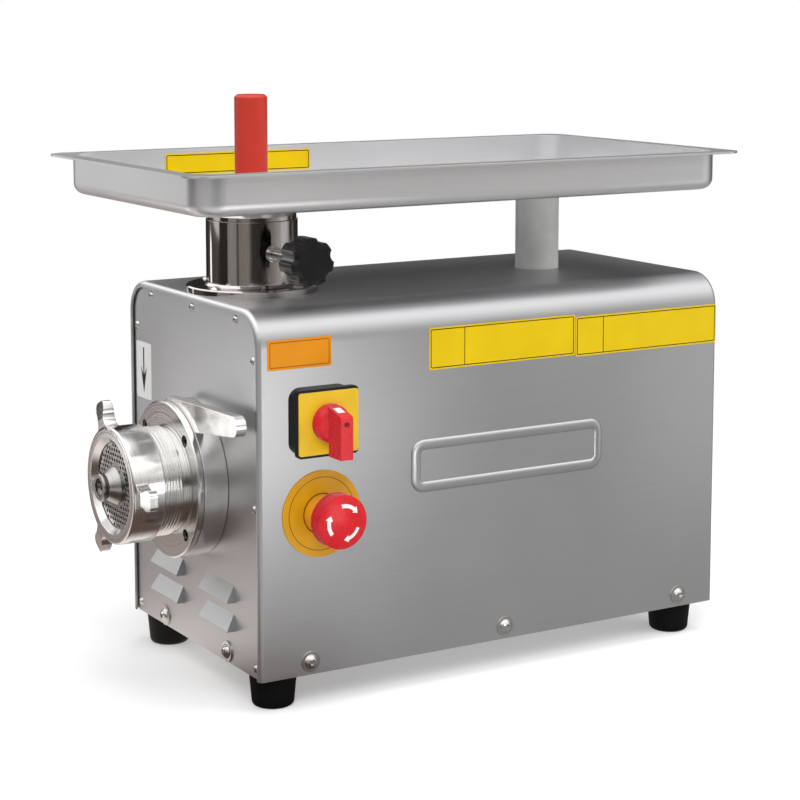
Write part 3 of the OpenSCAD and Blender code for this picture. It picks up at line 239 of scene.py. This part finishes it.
def printed_vinyl(name, light, dark):
    """Printed vinyl film: flat ink under a satin laminate, with a trace of sheet texture."""
    material, tree, shader = new_finish(name, **{"IOR": 1.46, "Specular IOR Level": 0.18})
    ink = noise(tree, (30, 30, 30))
    film = noise(tree, (1.5, 1.5, 1.5), 1.0)
    tint(tree, shader, ink, dark, light)
    roughen(tree, shader, film, 0.34, 0.42)
    bump = add(tree, "Bump", {"Height": film, "Strength": 1.0, "Distance": 0.002 * MM})
    tree.links.new(bump.outputs["Normal"], shader.inputs["Normal"])
    return material


# ---------- shapes ----------

def facing(origin, right, up):
    """Matrix of a flat drawing: its x along right, its y along up, its z out of the surface."""
    right, up = Vector(right), Vector(up)
    out = right.cross(up)
    turn = Matrix((right, up, out)).transposed().to_4x4()
    return Matrix.Translation(origin) @ turn


def rounded_outline(width, height, radius, steps=6):
    """Corner-rounded rectangle round the origin, in millimetres, anticlockwise."""
    points = []
    for sx, sy, start in ((1, 1, 0), (-1, 1, 90), (-1, -1, 180), (1, -1, 270)):
        cx, cy = sx * (width / 2 - radius), sy * (height / 2 - radius)
        for i in range(steps + 1):
            a = math.radians(start + 90 * i / steps)
            points.append((cx + radius * math.cos(a), cy + radius * math.sin(a)))
    return points


def circle_outline(radius, steps=96):
    """Circle round the origin, in millimetres, anticlockwise."""
    return [(radius * math.cos(math.tau * i / steps), radius * math.sin(math.tau * i / steps))
            for i in range(steps)]


def slab(mesh, outline, low, high, inner=None):
    """Adds a flat piece between two heights, with a matching inner outline cut out if given."""
    rings = [[mesh.verts.new((x * MM, y * MM, h * MM)) for x, y in line]
             for h in (low, high) for line in ([outline, inner] if inner else [outline])]
    n = len(outline)
    if inner:
        bottom, bottom_in, top, top_in = rings
        for i in range(n):
            j = (i + 1) % n
            mesh.faces.new((bottom[i], bottom[j], top[j], top[i]))
            mesh.faces.new((bottom_in[j], bottom_in[i], top_in[i], top_in[j]))
            mesh.faces.new((top[i], top[j], top_in[j], top_in[i]))
            mesh.faces.new((bottom[j], bottom[i], bottom_in[i], bottom_in[j]))
    else:
        bottom, top = rings
        mesh.faces.new(top)
        mesh.faces.new(list(reversed(bottom)))
        for i in range(n):
            j = (i + 1) % n
            mesh.faces.new((bottom[i], bottom[j], top[j], top[i]))


def new_object(name, mesh):
    """Puts a mesh under construction into the scene."""
    data = bpy.data.meshes.new(name)
    mesh.to_mesh(data)
    mesh.free()
    made = bpy.data.objects.new(name, data)
    bpy.context.scene.collection.objects.link(made)
    return made


def make_piece(name, mesh, matrix, material, body):
    """Turns a mesh under construction into a piece that rides on a body."""
    bmesh.ops.recalc_face_normals(mesh, faces=mesh.faces)
    piece = new_object(name, mesh)
    piece.data.transform(matrix)
    piece.data.materials.append(material)
    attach(piece, body)
    return piece


def sticker(mesh, width, height, radius, film):
    """Adds a label's film."""
    slab(mesh, rounded_outline(width, height, radius), 0, film)


def ink_line(mesh, outline, film, inner=None):
    """Adds printing that starts inside its film and stands a little over it."""
    slab(mesh, outline, film * 0.5, film + INK_RISE, inner)


def ink_frame(mesh, width, height, border, film):
    """Adds a printed border whose outer edge measures width by height."""
    ink_line(mesh, rounded_outline(width, height, 1.2), film,
             rounded_outline(width - 2 * border, height - 2 * border, 0.8))


def dress(material, *nodes):
    """Gives CAD nodes a finish."""
    for node in nodes:
        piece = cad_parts[node]
        piece.data.materials.clear()
        piece.data.materials.append(material)


# ---------- settings ----------

class GrinderFinish(bpy.types.PropertyGroup):
    """Colours and roughness of the grinder's finishes; colours are sRGB hex."""
    sheet_light: StringProperty(name="Sheet, light", description="Lightest streak of the brushed sheet",
                                default="#C3C3C4")
    sheet_dark: StringProperty(name="Sheet, dark", description="Darkest streak of the brushed sheet",
                               default="#B9B9BB")
    sheet_roughness: FloatProperty(name="Sheet roughness", description="Middle roughness of the sheet",
                                   default=0.4, min=0.05, max=0.8, subtype="FACTOR")
    label_yellow: StringProperty(name="Label yellow", description="Long labels", default="#E2C004")
    label_orange: StringProperty(name="Label orange", description="Small label above the switch",
                                 default="#E08E08")
    control_red: StringProperty(name="Control red", description="Dial and mushroom", default="#D41C26")
    pusher_red: StringProperty(name="Pusher red", description="Pusher", default="#C83A2C")


class GrinderSizes(bpy.types.PropertyGroup):
    """Sizes of the printed marks."""
    film: FloatProperty(name="Film", description="Thickness of the labels", default=0.00025,
                        min=0.00005, max=0.001, unit="LENGTH", precision=5)
    border: FloatProperty(name="Border", description="Width of a label's printed border", default=0.0007,
                          min=0.0002, max=0.003, unit="LENGTH", precision=5)
    bead: FloatProperty(name="Bead", description="Height of the rim round the name field", default=0.0019,
                        min=0.0016, max=0.003, unit="LENGTH", precision=4)
    arrow: FloatProperty(name="Arrow", description="Height of the direction arrow", default=0.037,
                         min=0.03, max=0.042, unit="LENGTH", precision=4)


def finish():
    """The scene's colours and roughness."""
    return bpy.context.scene.grinder_finish


def sizes():
    """The scene's sizes of printed marks."""
    return bpy.context.scene.grinder_sizes


# ---------- operators ----------

class GRINDER_OT_sheet(bpy.types.Operator):
    """Brushed stainless on the housing, panels, base and tray"""
    bl_idname = "grinder.sheet"
    bl_label = "Sheet metal"

    def execute(self, context):
        f = finish()
        colours = f.sheet_light, f.sheet_dark
        sheet = brushed_stainless("Stainless_brushed_lengthwise", *colours, "X", f.sheet_roughness)
        upright = brushed_stainless("Stainless_brushed_upright", *colours, "Y", f.sheet_roughness)
        # the tray is lighter than the housing's sheet: partly its own colour, partly painted light for the
        # bright light inside it
        tray = brushed_stainless("Stainless_brushed_tray_painted_light", "#E9E9EA", "#DFDFE1", "X", 0.4, 0.97)
        dress(sheet, "housing_shell", "base_plate", "motor_cradle")
        dress(upright, "front_panel", "rear_panel", "front_frame", "rear_frame")
        dress(tray, "tray")
        return {"FINISHED"}


class GRINDER_OT_head(bpy.types.Operator):
    """Castings and turned steel of the grinding head and the throat"""
    bl_idname = "grinder.head"
    bl_label = "Grinding head"

    def execute(self, context):
        # the collar, barrel and ring nut are lighter than the sheet: partly their own colour, partly a
        # painted highlight for the strong light on the head
        dress(ground_casting("Stainless_ground_painted_highlight", metal=0.96), "lock_collar")
        rough = ground_casting("Stainless_cast_rough", "#8C8A88", "#767472", 0.4)
        dress(rough, "bayonet_ring", "auger")
        dress(turned_steel("Stainless_turned_painted_highlight"), "head_barrel", "ring_nut")
        turned = turned_steel("Steel_turned", "#B2B0AD", "#9D9B98", 0.2)
        dress(turned, "cutting_plate", "plate_hub", "hub_screw", "knife", "output_shaft")
        polished = polished_steel("Stainless_polished_throat", "#B9B4B1", "#A9A4A1", 0.07, 0.03)
        dress(polished, "throat_tube", "tray_neck", "lock_stud")
        return {"FINISHED"}


class GRINDER_OT_fasteners(bpy.types.Operator):
    """Screws and bolts"""
    bl_idname = "grinder.fasteners"
    bl_label = "Fasteners"

    def execute(self, context):
        plated = polished_steel("Steel_zinc_plated", "#C8C7C5", "#B6B4B1", 0.16, 0.01, 0.25)
        dress(plated, "foot_bolts", "panel_screws", "base_screws", "side_screws", "throat_screws",
              "pillar_screw", "cover_screws")
        blackened = polished_steel("Steel_blackened", "#3A3A3C", "#2C2C2E", 0.3, 0.01, 0.3)
        dress(blackened, "flange_screws")
        return {"FINISHED"}


class GRINDER_OT_plastics(bpy.types.Operator):
    """Moulded parts, rubber feet, knob, pillar and pusher"""
    bl_idname = "grinder.plastics"
    bl_label = "Plastics and rubber"

    def execute(self, context):
        f = finish()
        # each: roughness, grain in mm, then where it differs depth and edge in mm and gloss
        black = moulded_plastic("Polyamide_black_moulded", "#121113", "#0A0A0B", 0.34, 0.6, gloss=0.2)
        knob = moulded_plastic("Phenolic_black_moulded", "#121315", "#0B0B0C", 0.14, 1.5, 0.003, 1.2, 0.4)
        rubber = moulded_plastic("Rubber_black_moulded", "#0C0C0C", "#060606", 0.6, 0.8, 0.01, 0.8, 0.15)
        yellow = moulded_plastic("Polycarbonate_yellow", "#E6BE10", "#DDB40E", 0.36, 1.0, 0.002, 0.3)
        printed = moulded_plastic("Aluminium_yellow_printed", "#D79E06", "#CC9404", 0.4, 1.0, 0.002, 0.3)
        amber = moulded_plastic("Polyamide_amber_moulded", "#F0A60C", "#E69A08", 0.3, 1.0, 0.002, 0.5)
        red = moulded_plastic("Polyamide_red_moulded", f.control_red, "#C81822", 0.24, 3.0, 0.0005, 0.4)
        pusher = moulded_plastic("Polyethylene_red_turned", f.pusher_red, "#C23A2C", 0.36, 1.2, 0.004, 1.5)
        white = moulded_plastic("Polyethylene_white_turned", "#EDEDEB", "#E4E4E2", 0.4, 0.8, 0.004, 0.8)
        dress(black, "cable_gland", "switch_body", "switch_block", "stop_stem", "stop_block", "cooling_fan",
              "terminal_block")
        dress(knob, "lock_knob")
        dress(rubber, "feet", "oil_seal")
        dress(yellow, "switch_plate")
        dress(printed, "stop_disc")
        dress(amber, "stop_collar")
        dress(red, "switch_handle", "stop_button")
        dress(pusher, "pusher")
        dress(white, "support_pillar")
        # keeps the image of the controls and the pusher out of the sheet metal
        for name in ("switch_body", "switch_plate", "switch_handle", "stop_button", "stop_disc",
                     "stop_collar", "pusher"):
            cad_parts[name].visible_glossy = False
        return {"FINISHED"}


class GRINDER_OT_drive(bpy.types.Operator):
    """Gearbox, gears and motor inside the housing"""
    bl_idname = "grinder.drive"
    bl_label = "Drive"

    def execute(self, context):
        cast = ground_casting("Aluminium_sand_cast", "#A4A5A6", "#8A8B8C", 0.42)
        hobbed = polished_steel("Steel_hobbed", "#A8A8A8", "#8E8E8E", 0.25, 0.01)
        enamel = moulded_plastic("Enamel_blue_sprayed", "#34495E", "#2C3F52", 0.35, 2.0, 0.01)
        winding = moulded_plastic("Copper_enamelled_wound", "#8A4A26", "#6E3A1E", 0.35, 0.9, 0.03)
        drawn = polished_steel("Aluminium_drawn", "#C8C9CC", "#B4B5B8", 0.28, 0.01)
        dress(cast, "gearbox_housing", "gearbox_cover", "motor_bells")
        dress(hobbed, "bearings", "output_gear", "countershaft", "counter_gear", "motor_pinion",
              "motor_rotor")
        dress(enamel, "motor_can")
        dress(winding, "motor_stator")
        dress(drawn, "run_capacitor")
        return {"FINISHED"}


class GRINDER_OT_badge_rim(bpy.types.Operator):
    """Rounded bead round the plain name field on the near side"""
    bl_idname = "grinder.badge_rim"
    bl_label = "Name field rim"

    def execute(self, context):
        f, s = finish(), sizes()
        sheet = brushed_stainless("Stainless_brushed_embossed", f.sheet_light, f.sheet_dark, "X", 0.34)
        width, height, corner, inset, half = 176.0, 40.0, 10.5, 3.8, 4.2
        steps = 8
        mesh = bmesh.new()
        rings = []
        for i in range(steps + 1):
            angle = math.pi * i / steps
            off = inset - half * math.cos(angle)
            rise = s.bead / MM * math.sin(angle)
            rings.append([mesh.verts.new((x * MM, y * MM, rise * MM)) for x, y in
                          rounded_outline(width - 2 * off, height - 2 * off, corner - off)])
        for first, second in zip(rings, rings[1:] + rings[:1]):
            for i in range(len(first)):
                j = (i + 1) % len(first)
                mesh.faces.new((first[i], first[j], second[j], second[i]))
        matrix = facing(place(FIELD_X, NEAR_Y, FIELD_Z), (1, 0, 0), (0, 0, 1))
        piece = make_piece("badge_rim", mesh, matrix, sheet, "housing")
        for face in piece.data.polygons:
            face.use_smooth = True
        return {"FINISHED"}


class GRINDER_OT_side_labels(bpy.types.Operator):
    """Three blank labels with printed borders on the near side"""
    bl_idname = "grinder.side_labels"
    bl_label = "Side labels"

    def execute(self, context):
        f, s = finish(), sizes()
        yellow = printed_vinyl("Vinyl_yellow_printed", f.label_yellow, "#DAB804")
        orange = printed_vinyl("Vinyl_orange_printed", f.label_orange, "#D68606")
        black = printed_vinyl("Ink_black_printed", "#2A2622", "#1F1C19")
        brown = printed_vinyl("Ink_brown_label", "#A85508", "#984A06")
        film, border = s.film / MM, s.border / MM
        for name, x0, x1, z0, z1, film_finish, ink, inset, split in (
                ("label_left", 144.5, 278.5, 243.5, 275.5, yellow, black, 1.2, 0.235),
                ("label_right", 279.2, 419.5, 242.0, 273.5, yellow, black, 1.2, 0.19),
                ("label_small", 8.0, 60.5, 255.0, 277.0, orange, brown, 1.6, None)):
            w, h = x1 - x0, z1 - z0
            matrix = facing(place((x0 + x1) / 2, NEAR_Y, (z0 + z1) / 2), (1, 0, 0), (0, 0, 1))
            mesh = bmesh.new()
            sticker(mesh, w, h, 1.5, film)
            make_piece(name, mesh, matrix, film_finish, "housing")
            mesh = bmesh.new()
            ink_frame(mesh, w - 2 * inset, h - 2 * inset, border, film)
            if split:
                line = [(-border / 2, -h / 2 + inset), (border / 2, -h / 2 + inset),
                        (border / 2, h / 2 - inset), (-border / 2, h / 2 - inset)]
                ink_line(mesh, [(x - w / 2 + w * split, y) for x, y in line], film)
            make_piece(name + "_border", mesh, matrix, ink, "housing")
        return {"FINISHED"}


class GRINDER_OT_tray_label(bpy.types.Operator):
    """Blank yellow label on the tray's far inner wall"""
    bl_idname = "grinder.tray_label"
    bl_label = "Tray label"

    def execute(self, context):
        f, s = finish(), sizes()
        yellow = printed_vinyl("Vinyl_yellow_tray", f.label_yellow, "#DAB804")
        ink = printed_vinyl("Ink_black_tray", "#2A2622", "#1F1C19")
        tray_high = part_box("tray")[1]
        rim, wall, inset = 12.0, 1.2, 1.2
        y = (tray_high.y - MIDDLE_Y) / MM - rim - wall
        z1 = tray_high.z / MM - 3.5
        z0 = z1 - 17.5
        x0, x1 = 37.0, 170.5
        film, border = s.film / MM, s.border / MM
        matrix = facing(place((x0 + x1) / 2, y, (z0 + z1) / 2), (1, 0, 0), (0, 0, 1))
        mesh = bmesh.new()
        sticker(mesh, x1 - x0, z1 - z0, 1.5, film)
        make_piece("label_tray", mesh, matrix, yellow, "tray")
        mesh = bmesh.new()
        ink_frame(mesh, x1 - x0 - 2 * inset, z1 - z0 - 2 * inset, border, film)
        make_piece("label_tray_border", mesh, matrix, ink, "tray")
        return {"FINISHED"}


class GRINDER_OT_arrow_label(bpy.types.Operator):
    """White label with the direction arrow on the front panel"""
    bl_idname = "grinder.arrow_label"
    bl_label = "Direction arrow"

    def execute(self, context):
        s = sizes()
        white = printed_vinyl("Vinyl_white_printed", "#F2F2F0", "#E9E9E7")
        ink = printed_vinyl("Ink_black_arrow", "#1C1B1A", "#141312")
        matrix = facing(place(PANEL_X, ARROW_Y, ARROW_Z), (0, -1, 0), (0, 0, 1))
        film = s.film / MM
        mesh = bmesh.new()
        sticker(mesh, 28, 45.5, 2, film)
        make_piece("label_arrow", mesh, matrix, white, "housing")
        # the shaft's half width, the barbs' reach and height, and how far up the shaft the barbs meet
        end, shaft, barb, barb_top, notch = s.arrow / MM / 2, 1.1, 6, 22.5, 15
        mesh = bmesh.new()
        ink_line(mesh, [(-shaft, end), (-shaft, notch - end), (-barb, barb_top - end), (0, -end),
                        (barb, barb_top - end), (shaft, notch - end), (shaft, end)], film)
        make_piece("label_arrow_mark", mesh, matrix, ink, "housing")
        return {"FINISHED"}


class GRINDER_OT_stop_marks(bpy.types.Operator):
    """Three twist arrows on the mushroom and the printed ring on its disc"""
    bl_idname = "grinder.stop_marks"
    bl_label = "Stop button marks"

    def execute(self, context):
        white = printed_vinyl("Paint_white_pad_printed", "#F4F1EE", "#EAE6E2")
        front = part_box("stop_button")[0].y
        matrix = facing(Vector((STOP_CENTRE.x, front, STOP_CENTRE.z)), (1, 0, 0), (0, 0, 1))
        dome, mark_radius, half, sweep, steps = 60.0, 12.4, 1.35, 52, 12

        def on_dome(radius, angle, lift):
            """A point at a height over the domed face, the angle in degrees."""
            r = math.radians(angle)
            drop = dome - math.sqrt(dome * dome - radius * radius)
            return (radius * math.cos(r) * MM, radius * math.sin(r) * MM, (lift - drop) * MM)

        mesh = bmesh.new()
        for start in (98, -22, -142):
            tail = [(start - sweep * i / steps, half) for i in range(steps + 1)]
            # angle and half width along the arrow's head
            head = [(start - 51, 2.8), (start - 58, 1.8), (start - 68, 0.12)]
            rings = [[mesh.verts.new(on_dome(mark_radius + side * reach, angle, lift))
                      for side, lift in ((-1, -0.2), (1, -0.2), (1, 0.12), (-1, 0.12))]
                     for angle, reach in tail + head]
            for first, second in zip(rings, rings[1:]):
                for i in range(4):
                    j = (i + 1) % 4
                    mesh.faces.new((first[i], first[j], second[j], second[i]))
            mesh.faces.new(rings[0])
            mesh.faces.new(rings[-1])
        make_piece("stop_arrows", mesh, matrix, white, "stop_button")

        line = printed_vinyl("Ink_brown_printed", "#7A4A08", "#6A3F06")
        disc_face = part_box("stop_disc")[0].y
        matrix = facing(Vector((STOP_CENTRE.x, disc_face, STOP_CENTRE.z)), (1, 0, 0), (0, 0, 1))
        mesh = bmesh.new()
        for outer, inner in ((27.5, 27.0), (15.6, 14.6)):
            slab(mesh, circle_outline(outer), -INK_ROOT, INK_RISE, circle_outline(inner))
        make_piece("stop_disc_ring", mesh, matrix, line, "housing")
        return {"FINISHED"}


class GRINDER_OT_switch_marks(bpy.types.Operator):
    """White pointer window on the dial's slope"""
    bl_idname = "grinder.switch_marks"
    bl_label = "Switch pointer"

    def execute(self, context):
        white = printed_vinyl("Plastic_white_insert", "#F6F3F0", "#ECE8E4")
        body, plate, gap, dial = 15.5, 1.2, 0.3, 8
        dial_front = place(0, NEAR_Y - (body + plate + gap + dial), 0).y
        # the grip's slope: height at its foot and its end, and how far it stands out
        foot, end, reach = 13, 8.5, 17
        slope_low = Vector((DIAL_CENTRE_X, dial_front, DIAL_CENTRE_Z + foot * MM))
        slope_high = Vector((DIAL_CENTRE_X, dial_front - reach * MM, DIAL_CENTRE_Z + end * MM))
        up = (slope_low - slope_high).normalized()
        right = Vector((1, 0, 0))
        centre = slope_low.lerp(slope_high, 0.38)
        matrix = facing(centre, right, up)
        mesh = bmesh.new()
        slab(mesh, rounded_outline(5.6, 8.2, 0.8), -0.3, 0.15)
        make_piece("switch_pointer", mesh, matrix, white, "switch_handle")
        return {"FINISHED"}


class GRINDER_OT_stage(bpy.types.Operator):
    """Floor, lamps, painted reflections round the grinder and camera"""
    bl_idname = "grinder.stage"
    bl_label = "Stage"

    def floor(self):
        """White paper that fades into the background away from the grinder; glossy rays see a painted
        reflection on it instead.
        """
        mesh = bmesh.new()
        bmesh.ops.create_grid(mesh, x_segments=2, y_segments=2, size=1.35)
        floor = new_object("floor", mesh)
        material, tree = empty_material("Paper_white_sweep")
        path = add(tree, "LightPath").outputs
        where = add(tree, "TexCoord").outputs["Object"]
        seen = self.paper_seen(tree, where, path["Is Camera Ray"])
        # the metal's glossy rays get this painted reflection in place of the paper
        painted_reflection = add(tree, "Emission", {"Color": self.painted_floor_reflection(tree, where), "Strength": 1.25})
        surface = add(tree, "MixShader", {0: path["Is Glossy Ray"], 1: seen, 2: painted_reflection})
        add(tree, "OutputMaterial", {"Surface": surface})
        floor.data.materials.append(material)

    def paper_seen(self, tree, where, camera_ray):
        """Paper with soft shadows near the grinder and plain white further off."""
        colour = add(tree, "Mix", {0: noise(tree, (300, 300, 300)), 6: linear("#E6E6E6"),
                                   7: linear("#EAEAEA")}, data_type="RGBA")
        lit = add(tree, "BsdfDiffuse", {"Color": colour.outputs[2]})
        lift = add(tree, "Math", {0: camera_ray, 1: 0.3}, operation="MULTIPLY")
        glow = add(tree, "Emission", {"Color": WHITE, "Strength": lift})
        shaded = add(tree, "AddShader", {0: lit, 1: glow})
        white = add(tree, "Emission", {"Color": WHITE, "Strength": 1.0})
        distance = add(tree, "VectorMath", {0: where}, operation="LENGTH").outputs["Value"]
        away = add(tree, "MapRange", {"Value": distance, "From Min": 0.45, "From Max": 0.85})
        fade = add(tree, "Math", {0: away, 1: camera_ray}, operation="MULTIPLY")
        return add(tree, "MixShader", {0: fade, 1: shaded, 2: white})

    def painted_floor_reflection(self, tree, where):
        """Painted reflection on the floor that only the metal sees: left of the grinder dark brown, then
        pale, then grey-brown going back; light grey at the near left; grey everywhere else."""
        parts = add(tree, "SeparateXYZ", {"Vector": where}).outputs
        # colours of the painted reflection, going back from the grinder
        reflection_zones = ((0.15, "#5E4E48"), (0.27, "#F4EBE6"), (0.36, "#F4EBE6"), (0.62, "#A89C98"),
                  (0.9, "#8C827F"))
        depth = add(tree, "MapRange", {"Value": parts["Y"], "From Min": -0.1, "From Max": 0.5})
        back = add(tree, "ValToRGB", {"Fac": depth}, [(spot, linear(colour)) for spot, colour in reflection_zones])
        right = add(tree, "MapRange", {"Value": parts["X"], "From Min": -0.12, "From Max": -0.04})
        pool = add(tree, "Mix", {0: right, 6: back, 7: linear("#999898")}, data_type="RGBA")
        across = add(tree, "VectorMath", {0: where, 1: (1, 0.6, 0)}, operation="DOT_PRODUCT")
        left = add(tree, "MapRange", {"Value": across.outputs["Value"], "From Min": -0.34,
                                      "From Max": -0.24, "To Min": 1, "To Max": 0})
        near = add(tree, "MapRange", {"Value": parts["Y"], "From Min": -0.27, "From Max": -0.17,
                                      "To Min": 1, "To Max": 0})
        near_left = add(tree, "Math", {0: left, 1: near}, operation="MULTIPLY")
        return add(tree, "Mix", {0: near_left, 6: pool.outputs[2], 7: linear("#C8C8C8")},
                   data_type="RGBA").outputs[2]

    def surroundings(self, scene):
        """White to the camera; to the metal, a painted reflection of screens and soft boxes all round."""
        world = bpy.data.worlds.new("Studio")
        scene.world = world
        world.use_nodes = True
        tree = world.node_tree
        tree.nodes.clear()
        path = add(tree, "LightPath").outputs
        soft = add(tree, "Background", {"Color": WHITE, "Strength": 0.5})
        plain = add(tree, "Background", {"Color": WHITE, "Strength": 1.0})
        # glossy rays see the painted reflection of screens and ceiling; diffuse rays get an even soft light
        glossy = add(tree, "MixShader", {0: path["Is Glossy Ray"], 1: soft, 2: self.painted_reflection_room(tree)})
        seen = add(tree, "Math", {0: path["Is Camera Ray"], 1: path["Is Transmission Ray"]},
                   operation="MAXIMUM")
        sky = add(tree, "MixShader", {0: seen, 1: glossy, 2: plain})
        add(tree, "OutputWorld", {"Surface": sky})

    def painted_reflection_room(self, tree):
        """Painted reflection that glossy rays alone see: screens round the grinder under a white ceiling.
        Going round, 0 is the left side (-X), 0.25 the near side (-Y), 0.5 the right side (+X) and 0.75 the
        far side."""
        where = add(tree, "TexCoord").outputs["Generated"]
        turn = add(tree, "TexGradient", {"Vector": where}, gradient_type="RADIAL").outputs["Fac"]
        # levels of the painted reflection's screens, going round
        screens = ((0.0, 0.2), (0.062, 0.2), (0.075, 0.02), (0.088, 0.17), (0.15, 0.18), (0.175, 0.03),
                   (0.265, 0.02), (0.30, 0.14), (0.33, 0.19), (0.40, 0.34), (0.455, 0.36), (0.48, 0.03),
                   (0.60, 0.015), (0.76, 0.015), (0.795, 0.04), (0.815, 0.06), (0.86, 0.05), (0.90, 0.06),
                   (0.935, 0.02), (0.98, 0.02))
        colours = []
        for spot, level in screens:
            # the dim screens of the painted reflection are a little warm
            warmth = 0.86 if level < 0.2 else 1.0
            colours.append((spot, (level, level * (1 + warmth) / 2, level * warmth, 1)))
        around = add(tree, "ValToRGB", {"Fac": turn}, colours)
        ring = add(tree, "Background", {"Color": around, "Strength": 2.0})
        # a bright painted reflection overhead
        ceiling = add(tree, "Background", {"Color": WHITE, "Strength": 1.95})
        # from the right side round to behind the grinder the painted ceiling reflection starts higher up
        starts = ((0.0, 0.0), (0.47, 0.0), (0.50, 1.0), (0.70, 1.0), (0.73, 0.0))
        higher = add(tree, "ValToRGB", {"Fac": turn},
                     [(spot, (level, level, level, 1)) for spot, level in starts])
        shift = add(tree, "Math", {0: higher, 1: 0.4}, operation="MULTIPLY")
        z = add(tree, "SeparateXYZ", {"Vector": where}).outputs["Z"]
        height = add(tree, "Math", {0: z, 1: shift}, operation="SUBTRACT")
        rise = add(tree, "MapRange", {"Value": height, "From Min": 0.13, "From Max": 0.72})
        return add(tree, "MixShader", {0: rise, 1: ring, 2: ceiling})

    def cards(self):
        """White cards round the grinder that only its metal mirrors: glowing painted highlights that light
        nothing.
        """
        for name, low, high, level in (
                ("card_near_left", (-0.12, -0.46, 0.075), (0.055, -0.46, 0.23), 3.1),
                ("card_near_right", (0.43, -0.46, 0.0), (1.1, -0.46, 0.3), 0.85),
                ("card_left_low", (-0.48, 0.2, 0.06), (-0.48, 0.5, 0.2), 2.6),
                ("card_left_high", (-0.48, 0.16, 0.3), (-0.48, 0.9, 0.45), 1.0),
                ("card_left_far", (-0.48, 0.54, 0.21), (-0.48, 0.7, 0.265), 3.0)):
            corners = (low, (high[0], high[1], low[2]), high, (low[0], low[1], high[2]))
            self.card(name, corners, level, 1.0)
        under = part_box("tray")[0].z - 0.004
        x0, x1, y0, y1 = -0.26, -0.165, -0.16, 0.3
        corners = ((x0, y0, under), (x1, y0, under), (x1, y1, under), (x0, y1, under))
        # shines downwards only, so the tray's underside doesn't mirror it
        self.card("card_under_tray", corners, 2.2, None)

    def card(self, name, corners, level, factor):
        """One card, a glowing painted highlight; without a factor it shines on its back only."""
        mesh = bmesh.new()
        mesh.faces.new([mesh.verts.new(corner) for corner in corners])
        card = new_object(name, mesh)
        material, tree = empty_material("Painted_highlight_card_" + name)
        if factor is None:
            factor = add(tree, "NewGeometry").outputs["Backfacing"]
        clear = add(tree, "BsdfTransparent")
        glow = add(tree, "Emission", {"Color": WHITE, "Strength": level})
        surface = add(tree, "MixShader", {0: factor, 1: clear, 2: glow})
        add(tree, "OutputMaterial", {"Surface": surface})
        card.data.materials.append(material)
        # seen only in the metal, as a painted highlight
        card.visible_camera = False
        card.visible_diffuse = False
        card.visible_transmission = False
        card.visible_shadow = False

    def lamps(self, scene):
        """Three square soft lamps aimed at the grinder."""
        aim = Vector((0, 0, 0.2))
        for name, spot, size, watts in (("key", (-1.6, -2.2, 2.4), 1.6, 48),
                                        ("fill", (2.2, -1.6, 1.5), 1.4, 20),
                                        ("top", (0.1, -0.2, 2.6), 1.8, 37)):
            lamp = bpy.data.lights.new(name, "AREA")
            lamp.shape = "SQUARE"
            lamp.size = size
            lamp.energy = watts
            holder = bpy.data.objects.new(name, lamp)
            holder.location = spot
            holder.rotation_euler = (aim - Vector(spot)).to_track_quat("-Z", "Y").to_euler()
            holder.visible_glossy = False
            scene.collection.objects.link(holder)

    def camera(self, scene):
        """A long lens from the near left, looking a little down."""
        view = bpy.data.cameras.new("camera")
        view.sensor_width = 36.0
        view.lens = 94.526
        view.shift_y = -0.1702
        view.clip_start = 0.05
        camera = bpy.data.objects.new("camera", view)
        camera.location = place(*CAMERA_SPOT)
        camera.rotation_euler = (math.radians(90 - CAMERA_PITCH), 0, math.radians(-CAMERA_YAW))
        scene.collection.objects.link(camera)
        scene.camera = camera

    def execute(self, context):
        scene = context.scene
        scene.view_settings.view_transform = "Standard"
        self.floor()
        self.surroundings(scene)
        self.cards()
        self.lamps(scene)
        self.camera(scene)
        return {"FINISHED"}


class GRINDER_PT_panel(bpy.types.Panel):
    """Grinder tools"""
    bl_idname = "GRINDER_PT_panel"
    bl_label = "Meat grinder"
    bl_space_type = "VIEW_3D"
    bl_region_type = "UI"
    bl_category = "Grinder"

    def draw(self, context):
        for group in (finish(), sizes()):
            for name in group.bl_rna.properties.keys():
                if name not in ("rna_type", "name"):
                    self.layout.prop(group, name)
        for operator in OPERATORS:
            self.layout.operator(operator.bl_idname)


OPERATORS = (GRINDER_OT_sheet, GRINDER_OT_head, GRINDER_OT_fasteners, GRINDER_OT_plastics,
             GRINDER_OT_drive, GRINDER_OT_badge_rim, GRINDER_OT_side_labels, GRINDER_OT_tray_label,
             GRINDER_OT_arrow_label, GRINDER_OT_stop_marks, GRINDER_OT_switch_marks, GRINDER_OT_stage)
CLASSES = (GrinderFinish, GrinderSizes) + OPERATORS + (GRINDER_PT_panel,)


def register():
    """Adds the classes and the two groups of settings to Blender."""
    for cls in CLASSES:
        bpy.utils.register_class(cls)
    bpy.types.Scene.grinder_finish = PointerProperty(type=GrinderFinish)
    bpy.types.Scene.grinder_sizes = PointerProperty(type=GrinderSizes)


def unregister():
    """Takes them away again."""
    del bpy.types.Scene.grinder_sizes
    del bpy.types.Scene.grinder_finish
    for cls in reversed(CLASSES):
        bpy.utils.unregister_class(cls)


def main():
    """Runs every operator in order."""
    register()
    for operator in OPERATORS:
        group, name = operator.bl_idname.split(".")
        getattr(getattr(bpy.ops, group), name)()


if __name__ == "__main__":
    main()
